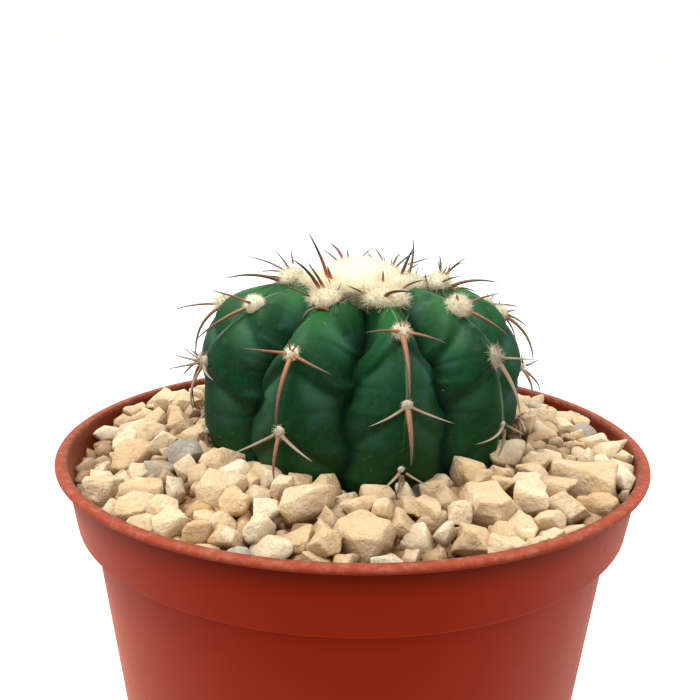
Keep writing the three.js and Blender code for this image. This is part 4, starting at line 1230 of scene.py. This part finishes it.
def crushed_stone(gravel):
    """Cream crushed stone with ochre stains, dusty faces, rough grain, a few grey pieces and painted shade deep down.
    """
    finish = Finish("crushed_stone", Specular_IOR_Level=0.2)
    tone = finish.attribute("tone")
    shift = finish.vector(tone * 7.3, tone * 3.1, tone * 5.7)
    place = finish.add("ShaderNodeVectorMath", {"operation": "ADD"}, {0: finish.place, 1: shift}).outputs[0]
    stain = finish.noise(3.6 * MM, 4, 0.62, place)
    lumps = finish.noise(1.9 * MM, 4, 0.6, place)
    pores = finish.noise(0.5 * MM, 4, 0.7, place)
    body = finish.ramp(tone, (0, linear(244, 229, 198)), (0.25, tuple(gravel.colour)),
                       (0.6, linear(218, 188, 146)), (0.8, linear(204, 160, 108)), (0.9, linear(190, 178, 156)),
                       (1, linear(168, 164, 156)))
    tint = finish.layers(
        body,
        (stain.smooth(0.52, 0.72) * 0.5, (206, 164, 112)),
        (stain.smooth(0.45, 0.26) * 0.5, (250, 242, 222)),
        (lumps.smooth(0.42, 0.28) * 0.3, (176, 140, 98)),
        (pores.smooth(0.42, 0.26) * 0.4, (140, 108, 74)),
    )
    # Painted shade: stones are darker and browner the deeper they lie under the gravel's level.
    tint = finish.mix(finish.attribute("depth") * 0.85, tint, linear(128, 92, 60), "MULTIPLY")
    relief = finish.bump(pores, 0.28 * MM, finish.bump(lumps, 0.9 * MM))
    return finish.connect(Base_Color=tint, Roughness=0.85 + pores * 0.1, Normal=relief)


def gravel_level(gravel, x, y):
    """Level of the stones' tops at a place."""
    share = smoothstep(np.hypot(x, y), 42 * MM, 61 * MM)
    level = gravel.plant_level + (gravel.edge_level - gravel.plant_level) * share
    for heap_x, heap_y, height, spread in HEAPS:
        far = ((x / MM - heap_x) ** 2 + (y / MM - heap_y) ** 2) / (2 * spread ** 2)
        level = level + height * MM * np.exp(-far)
    return level


def depth_below(gravel, points):
    """How far points lie under the gravel's level, 0 at it and 1 deep down, for the stones' painted shade."""
    return smoothstep(gravel_level(gravel, points[:, 0], points[:, 1]) - points[:, 2], -0.5 * MM, 5 * MM)


def wall_radius(pot, height):
    """The pot's inner radius at a height."""
    low = pot.collar_foot_radius - pot.wall
    return low + (pot.rim_radius - pot.lip_width - low) * (height - POT_HEIGHT + pot.collar_depth) / pot.collar_depth


def stem_reach(stem):
    """The stem's radius about its own axis by azimuth and height, as a table with its two scales."""
    heights = np.linspace(SOIL_TOP, POT_HEIGHT + 14 * MM, 24)
    steps, middle = 60, 20
    runs = np.linspace(30 * MM, crest_outline(stem)[0][-1], steps)
    azimuths, radii = [], []
    for rib in range(len(RIBS)):
        for across in np.arange(-0.5, 0.5, 1 / 12):
            base, outward, off, depth, swell, _ = stem_surface(stem, rib, np.full(steps, across), runs)
            groove = groove_profile(off, groove_openness(runs))
            flank = stem.flank_swell * np.sin(math.pi * off) + stem.crest_swell * (1 - off)
            point = base + outward * (swell * flank - depth * groove * stem.groove_depth)[:, None]
            radius = np.hypot(point[:, 0] - stem.offset, point[:, 1])
            order = np.argsort(point[:, 2])
            radii.append(np.interp(heights, point[order, 2], radius[order]))
            azimuths.append(math.atan2(point[middle, 0] - stem.offset, -point[middle, 1]) % TURN)
    order = np.argsort(azimuths)
    return np.array(azimuths)[order], heights, np.array(radii)[order]


def pile_stones(gravel, pot, stem):
    """Lets flat grains of mixed size sink and push one another apart until they lie packed in the ring."""
    draw = np.random.default_rng(gravel.seed)
    known = np.array(KNOWN_STONES)
    fixed, total = len(known), len(known) + gravel.stones
    size = gravel.smallest + (gravel.largest - gravel.smallest) * draw.beta(1.3, 3, total)
    size[:fixed] = known[:, 2] * MM
    turn = draw.uniform(0, TURN, total)
    far = np.sqrt(draw.uniform((37 * MM) ** 2, (60 * MM) ** 2, total))
    place = np.stack([stem.offset + far * np.sin(turn), -far * np.cos(turn), far * 0], axis=1)
    place[:fixed, :2] = known[:, :2] * MM
    place[:, 2] = gravel_level(gravel, place[:, 0], place[:, 1]) + draw.uniform(-6 * MM, 4 * MM, total)
    place[:fixed, 2] = (gravel_level(gravel, place[:fixed, 0], place[:fixed, 1]) + known[:, 3] * MM
                        - size[:fixed] * gravel.flatness)
    tone = 0.66 * draw.beta(1.4, 1.6, total)
    odd = draw.uniform(0, 1, total)
    tone[odd > 0.965] = 0.8
    tone[odd > 0.985] = 0.93
    tone[:fixed] = known[:, 4]
    free = np.arange(total) >= fixed
    azimuths, heights, radii = stem_reach(stem)
    # How close two grains come, how much of an overlap one round undoes, and how close they come to pot and stem.
    closeness, easing, to_pot, to_stem = 0.94, 0.7, 0.9, 0.85
    reach = (size[:, None] + size[None]) * closeness
    np.fill_diagonal(reach, 0)
    share = np.where(free[:, None] & free[None], 0.5, 1.0) * easing
    squash = np.array([1, 1, 1 / gravel.flatness])
    rounds, sinking, longest_push, tiny = 150, 0.12 * MM, 0.8 * MM, 1e-9
    for _ in range(rounds):
        place[free, 2] -= sinking
        gap = (place[:, None] - place[None]) * squash
        distance = np.sqrt((gap ** 2).sum(axis=2)) + tiny
        push = (gap * (np.clip(reach - distance, 0, None) * share / distance)[..., None]).sum(axis=1) / squash
        push *= np.minimum(1, longest_push / np.maximum(np.linalg.norm(push, axis=1, keepdims=True), tiny))
        place[free] += push[free]
        bed = gravel_level(gravel, place[:, 0], place[:, 1]) - gravel.depth + size * gravel.flatness
        place[free, 2] = np.maximum(place[free, 2], bed[free])
        most = wall_radius(pot, place[:, 2]) - size * to_pot
        place[:, :2] *= np.where(free, np.minimum(1, most / np.hypot(place[:, 0], place[:, 1])), 1)[:, None]
        side = place[:, :2] - (stem.offset, 0)
        azimuth = np.arctan2(side[:, 0], -side[:, 1]) % TURN
        column = np.searchsorted(azimuths, azimuth) % len(azimuths)
        row = np.clip(np.searchsorted(heights, place[:, 2]), 0, len(heights) - 1)
        least = radii[column, row] + size * to_stem
        spread = np.where(free, np.maximum(1, least / np.hypot(side[:, 0], side[:, 1])), 1)
        place[:, :2] = side * spread[:, None] + (stem.offset, 0)
    above = place[:, 2] + size * gravel.flatness - gravel_level(gravel, place[:, 0], place[:, 1])
    highest = 1.6 * MM
    kept = ~free | (above < highest)
    return place[kept], size[kept], tone[kept]


def carve(stone, planes):
    """Cuts a convex body back to planes of (direction, distance from the middle), and closes each cut."""
    for direction, distance in planes:
        cut = bmesh.ops.bisect_plane(stone, geom=[*stone.verts, *stone.edges, *stone.faces], dist=1e-6,
                                     plane_co=direction * distance, plane_no=direction, clear_outer=True)
        rim = [part for part in cut["geom_cut"] if isinstance(part, bmesh.types.BMEdge)]
        if len(rim) > 2:
            bmesh.ops.holes_fill(stone, edges=rim, sides=0)


def in_order(body):
    """A body's points and faces in an order that is the same each run, which the cuts don't keep."""
    vertices = sorted(body.verts, key=lambda vertex: tuple(vertex.co))
    number = {vertex: i for i, vertex in enumerate(vertices)}
    sides = []
    for face in body.faces:
        corners = [number[vertex] for vertex in face.verts]
        first = corners.index(min(corners))
        sides.append((*corners[first:], *corners[:first]))
    return np.array([vertex.co for vertex in vertices]), sorted(sides)


def stone_form(size, limits, gravel, draw, bare):
    """A crushed stone: an uneven body that lies flat, cut back at its neighbours and worn, finer if it is bare."""
    shard = draw.uniform() > 0.75
    thin = draw.uniform(0.4, 0.6) if shard else draw.uniform(0.62, 1)
    axes = Matrix.Diagonal(Vector((draw.uniform(1.15, 1.85), draw.uniform(0.8, 1.15), thin)))
    lean = 0.8 if shard else 0.4
    tilt = Matrix.Rotation(draw.normal(0, lean), 3, "X") @ Matrix.Rotation(draw.normal(0, lean), 3, "Y")
    turn = tilt @ Matrix.Rotation(draw.uniform(0, TURN), 3, "Z")
    stone = bmesh.new()
    bmesh.ops.create_cube(stone, size=4.0)
    faces = int(draw.integers(8, 13)) + (2 if size > 4.6 * MM else 0)
    planes = []
    for k in range(faces):
        height = 1 - 2 * (k + 0.5) / faces
        angle = k * GOLDEN_ANGLE + draw.uniform(-0.8, 0.8)
        ring = math.sqrt(1 - height ** 2)
        way = Vector((ring * math.cos(angle), ring * math.sin(angle), height + draw.uniform(-0.4, 0.4))).normalized()
        planes.append((turn @ way, (axes @ way).length * draw.uniform(0.64, 1.04)))
    carve(stone, planes + [(Vector(way).normalized(), distance / size) for way, distance in limits])
    if len(stone.verts) < 6:
        stone.free()
        return None
    shortest_edge, shortest_worn_edge, longest_edge, worn_alike_from = 0.3, 0.03, 0.8, 3.4 * MM
    bmesh.ops.remove_doubles(stone, verts=stone.verts, dist=shortest_edge)
    if bare:
        wear = gravel.wear * min(1, worn_alike_from / size)
        bmesh.ops.bevel(stone, geom=stone.edges, offset=wear, segments=2, profile=0.5, affect="EDGES",
                        clamp_overlap=True)
        bmesh.ops.remove_doubles(stone, verts=stone.verts, dist=shortest_worn_edge)
    bmesh.ops.triangulate(stone, faces=stone.faces)
    if bare:
        long = [edge for edge in stone.edges if edge.calc_length() > longest_edge]
        bmesh.ops.subdivide_edges(stone, edges=long, cuts=1, use_grid_fill=True)
        bmesh.ops.triangulate(stone, faces=stone.faces)
    shift = Vector(draw.uniform(-50, 50, 3))
    for vertex in stone.verts:
        vertex.co *= 1 + 0.2 * noise.noise(vertex.co * 1.2 + shift) + 0.07 * noise.noise(vertex.co * 3 + shift)
    bmesh.ops.recalc_face_normals(stone, faces=stone.faces)
    points, sides = in_order(stone)
    stone.free()
    return points * size, sides


def neighbour_limits(i, place, size, gravel, pot, draw):
    """Where a stone has to stop: near half way to each neighbour, at the pot's wall and over the soil."""
    away = place - place[i]
    distance = np.linalg.norm(away, axis=1)
    farthest, highest, least = 1.6 * (size + size[i]), 1.3 * MM, 0.42 * size[i]
    near = np.flatnonzero((distance > 0) & (distance < farthest))
    most = gravel_level(gravel, *place[i, :2]) + highest - place[i, 2]
    limits = [(np.array([0, 0, -1]), place[i, 2] - SOIL_TOP - SOIL_GAP),
              (np.append(draw.normal(0, 0.2, 2), 1), max(most, 0.5 * size[i]))]
    for j in near:
        share = 0.5 + (size[i] ** 2 - size[j] ** 2) / (2 * distance[j] ** 2)
        way = away[j] / distance[j] + draw.normal(0, 0.25, 3)
        limits.append((way, max(least, share * distance[j] + size[i] * draw.uniform(-0.1, 0.2))))
    wall = wall_radius(pot, place[i, 2]) - WALL_GAP
    for lean in (-0.08, 0, 0.08):
        angle = math.atan2(place[i, 1], place[i, 0]) + lean
        way = np.array([math.cos(angle), math.sin(angle), 0])
        limits.append((way, wall - place[i] @ way))
    return limits


def chip_tree():
    """Strews small chips over the bed between the stones."""
    tree = Growth("chips", Density=1e5, Chip_size=1.5 * MM, Seed=3)
    bed = tree.finished(tree.source["Geometry"])
    spots, _ = tree.scattered(bed, tree.input("Density") * tree.named("strewn"))
    ball = tree.add("GeometryNodeMeshIcoSphere", None, {"Radius": 1.0, "Subdivisions": 1}).outputs[0]
    normal = tree.add("GeometryNodeInputNormal").outputs[0]
    dents = tree.add("ShaderNodeTexNoise", None, {"Scale": 1.3, "Detail": 1.0})
    chip = tree.finished(tree.moved(ball, tree.scaled(normal, (Value(tree, dents.outputs["Fac"]) - 0.5) * 1.4)))
    turn = tree.random((0, 0, 0), (TURN, TURN, TURN))
    size = tree.scaled(tree.random((0.5, 0.4, 0.35), (1.25, 1.0, 0.8), 1), tree.source["Chip size"])
    toned = tree.add("GeometryNodeStoreNamedAttribute", {"data_type": "FLOAT", "domain": "INSTANCE"},
                     {"Geometry": tree.copies(spots, chip, turn, size), "Name": "tone",
                      "Value": tree.random(0.2, 0.85, 2)}).outputs[0]
    return tree.end(tree.joined(bed, toned))


def make_gravel(gravel, pot, stem):
    """The ring of gravel: loose stones over a bed of fines and small chips."""
    material = crushed_stone(gravel)
    draw = np.random.default_rng(gravel.seed + 1)
    place, size, tone = pile_stones(gravel, pot, stem)
    parts, tones = [], []
    seen_depth = 2.2 * MM
    bare = place[:, 2] + size > gravel_level(gravel, place[:, 0], place[:, 1]) - seen_depth
    for i in range(len(size)):
        form = stone_form(size[i], neighbour_limits(i, place, size, gravel, pot, draw), gravel, draw, bare[i])
        if form:
            parts.append((form[0] + place[i], form[1]))
            tones += [tone[i]] * len(form[0])
    points, sides = merge_parts(parts)
    points = np.array(points)
    points[:, 2] = np.maximum(points[:, 2], SOIL_TOP + SOIL_GAP)
    most = wall_radius(pot, points[:, 2]) - WALL_GAP
    points[:, :2] *= np.minimum(1, most / np.hypot(points[:, 0], points[:, 1]))[:, None]
    piece = new_piece("stones", points, sides, material)
    set_attribute(piece.data, "tone", tones)
    # The depth gives the stones painted shade.
    set_attribute(piece.data, "depth", depth_below(gravel, points))
    stand(piece, "gravel", "gravel")
    make_bed(gravel, pot, stem, material)


def make_bed(gravel, pot, stem, material):
    """The bed of fines under the loose stones, with chips on it."""
    segments, rings = BED_SEGMENTS, 14
    turn = np.arange(segments)[None] * TURN / segments
    share = np.linspace(0, 1, rings)[:, None]
    azimuths, heights, radii = stem_reach(stem)
    foot = radii[:, np.searchsorted(heights, gravel.plant_level - 0.6 * gravel.depth)]
    inner = np.interp(turn, azimuths, foot, period=TURN) - 0.6 * MM
    x = stem.offset + inner * np.sin(turn)
    y = -inner * np.cos(turn)
    outer = wall_radius(pot, gravel.edge_level - gravel.depth) - 0.2 * MM
    x = x + (outer * np.sin(turn) - x) * share
    y = y + (-outer * np.cos(turn) - y) * share
    z = gravel_level(gravel, x, y) - 0.62 * gravel.depth
    top = np.stack([x, y, z], axis=-1)
    low = top[::-1].copy()
    low[..., 2] = SOIL_TOP + 0.3 * MM
    vertices = np.concatenate([top, low]).reshape(-1, 3)
    faces = [face[::-1] for face in grid_faces(2 * rings, segments)]
    last = (2 * rings - 1) * segments
    faces += [(c, last + c, last + (c + 1) % segments, (c + 1) % segments)[::-1] for c in range(segments)]
    piece = new_piece("gravel_bed", vertices, faces, material)
    set_attribute(piece.data, "tone", np.full(len(vertices), 0.7))
    # The whole bed is in painted shade.
    set_attribute(piece.data, "depth", np.ones(len(vertices)))
    strewn = np.zeros((2 * rings, segments))
    strewn[1:rings - 2] = 1
    set_attribute(piece.data, "strewn", strewn.ravel())
    grow(piece, chip_tree(), Material=material, Density=gravel.chip_density, Chip_size=1.7 * MM, Seed=gravel.seed)
    stand(piece, "gravel", "gravel")


# Stage


def make_stage(stage):
    """The camera, a white floor, white surroundings and a soft lamp."""
    scene = bpy.context.scene
    scene.view_settings.view_transform = "Standard"
    pitch, yaw, roll = stage.pitch, stage.yaw, stage.roll
    ahead = Vector((math.sin(yaw) * math.cos(pitch), math.cos(yaw) * math.cos(pitch), -math.sin(pitch)))
    right = Vector((math.cos(yaw), -math.sin(yaw), 0))
    up = right.cross(ahead)
    across = right * math.cos(roll) + up * math.sin(roll)
    over = up * math.cos(roll) - right * math.sin(roll)
    lens = bpy.data.cameras.new("camera")
    lens.lens, lens.sensor_width = stage.focal_length, 36
    lens.clip_start, lens.clip_end = 0.01, 20
    camera = bpy.data.objects.new("camera", lens)
    camera.matrix_world = Matrix.Translation(stage.eye) @ Matrix((across, over, -ahead)).transposed().to_4x4()
    scene.collection.objects.link(camera)
    scene.camera = camera
    paper = Finish("white_paper", Base_Color=(0.86, 0.83, 0.84, 1), Roughness=0.9, Specular_IOR_Level=0.0,
                   Emission_Strength=0.35, Emission_Color=(1, 1, 1, 1))
    wide = 6.0
    floor = new_piece("floor", [(-wide, -wide, 0), (wide, -wide, 0), (wide, wide, 0), (-wide, wide, 0)],
                      [(0, 1, 2, 3)], paper.material)
    floor.visible_diffuse = floor.visible_glossy = floor.visible_shadow = False
    make_sky(scene, stage)
    make_lamp("key_light", (-0.25, -0.2, 0.95), 0.3, stage.key_power, (1, 0.98, 0.95))


def make_sky(scene, stage):
    """Surroundings that are bright at the sides, behind and above, dim towards the camera, and look white."""
    world = bpy.data.worlds.new("surroundings")
    world.use_nodes = True
    scene.world = world
    sky = Graph(world.node_tree)
    world.node_tree.nodes.clear()
    _, ahead, up = sky.split(sky.add("ShaderNodeTexCoord").outputs["Generated"])
    open_side = (up * 0.45 + ahead).smooth(-0.85, -0.3)
    added = stage.sides + up.smooth(0.2, 0.9) * stage.above - up.smooth(0, -0.4) * stage.below
    strength = stage.front + open_side * added
    seen = Value(sky, sky.add("ShaderNodeLightPath").outputs["Is Camera Ray"])
    shown = strength * (1 - seen) + seen
    light = sky.add("ShaderNodeBackground", None, {"Color": (1, 0.995, 0.99, 1), "Strength": shown})
    sky.add("ShaderNodeOutputWorld", None, {"Surface": light.outputs[0]})


def make_lamp(name, place, size, power, tint):
    """A square soft light that faces the plant."""
    lamp = bpy.data.lights.new(name, "AREA")
    lamp.shape, lamp.size, lamp.energy, lamp.color = "SQUARE", size, power, tint
    holder = bpy.data.objects.new(name, lamp)
    aim = Vector((0, 0, POT_HEIGHT)) - Vector(place)
    holder.matrix_world = Matrix.Translation(place) @ aim.to_track_quat("-Z", "Y").to_matrix().to_4x4()
    bpy.context.scene.collection.objects.link(holder)


# Operators


class PieceOperator:
    """What the operators of this add-on share."""

    bl_options = {"REGISTER", "UNDO"}


class CACTUS_OT_stage(PieceOperator, bpy.types.Operator):
    """Makes the camera, the floor and the light"""

    bl_idname = "cactus.stage"
    bl_label = "Stage"

    def execute(self, context):
        make_stage(sizes("stage"))
        return {"FINISHED"}


class CACTUS_OT_pot(PieceOperator, bpy.types.Operator):
    """Makes the plastic pot"""

    bl_idname = "cactus.pot"
    bl_label = "Pot"

    def execute(self, context):
        make_pot(sizes("pot"))
        return {"FINISHED"}


class CACTUS_OT_soil(PieceOperator, bpy.types.Operator):
    """Gives the soil its finish"""

    bl_idname = "cactus.soil"
    bl_label = "Soil"

    def execute(self, context):
        make_soil()
        return {"FINISHED"}


class CACTUS_OT_stem(PieceOperator, bpy.types.Operator):
    """Makes the ribbed stem with its root"""

    bl_idname = "cactus.stem"
    bl_label = "Stem"

    def execute(self, context):
        make_stem(sizes("stem"))
        return {"FINISHED"}


class CACTUS_OT_spines(PieceOperator, bpy.types.Operator):
    """Makes the spines"""

    bl_idname = "cactus.spines"
    bl_label = "Spines"

    def execute(self, context):
        make_spines(sizes("stem"), sizes("spines"))
        return {"FINISHED"}


class CACTUS_OT_wool(PieceOperator, bpy.types.Operator):
    """Makes the wool of the areoles and of the crown"""

    bl_idname = "cactus.wool"
    bl_label = "Wool"

    def execute(self, context):
        fleece = fleece_tree()
        make_pads(sizes("stem"), sizes("wool"), fleece)
        make_crown_wool(sizes("stem"), sizes("wool"), fleece)
        return {"FINISHED"}


class CACTUS_OT_gravel(PieceOperator, bpy.types.Operator):
    """Makes the gravel"""

    bl_idname = "cactus.gravel"
    bl_label = "Gravel"

    def execute(self, context):
        make_gravel(sizes("gravel"), sizes("pot"), sizes("stem"))
        return {"FINISHED"}


class CACTUS_PT_pieces(bpy.types.Panel):
    """The pieces and their sizes"""

    bl_idname = "CACTUS_PT_pieces"
    bl_label = "Potted cactus"
    bl_space_type = "VIEW_3D"
    bl_region_type = "UI"
    bl_category = "Cactus"

    def draw(self, context):
        for operator in OPERATORS:
            self.layout.operator(operator.bl_idname)
        for name, group in SETTINGS.items():
            box = self.layout.box()
            box.label(text=group.__doc__)
            for key in group.__annotations__:
                box.prop(sizes(name), key)


OPERATORS = (CACTUS_OT_stage, CACTUS_OT_pot, CACTUS_OT_soil, CACTUS_OT_stem, CACTUS_OT_spines, CACTUS_OT_wool,
             CACTUS_OT_gravel)
CLASSES = (*SETTINGS.values(), *OPERATORS, CACTUS_PT_pieces)


def register():
    for part in CLASSES:
        bpy.utils.register_class(part)
    for name, group in SETTINGS.items():
        setattr(bpy.types.Scene, "cactus_" + name, PointerProperty(type=group))


def unregister():
    for name in SETTINGS:
        delattr(bpy.types.Scene, "cactus_" + name)
    for part in reversed(CLASSES):
        bpy.utils.unregister_class(part)


def main():
    """Makes every piece in order."""
    register()
    bpy.ops.cactus.stage()
    bpy.ops.cactus.pot()
    bpy.ops.cactus.soil()
    bpy.ops.cactus.stem()
    bpy.ops.cactus.spines()
    bpy.ops.cactus.wool()
    bpy.ops.cactus.gravel()


if __name__ == "__main__":
    main()
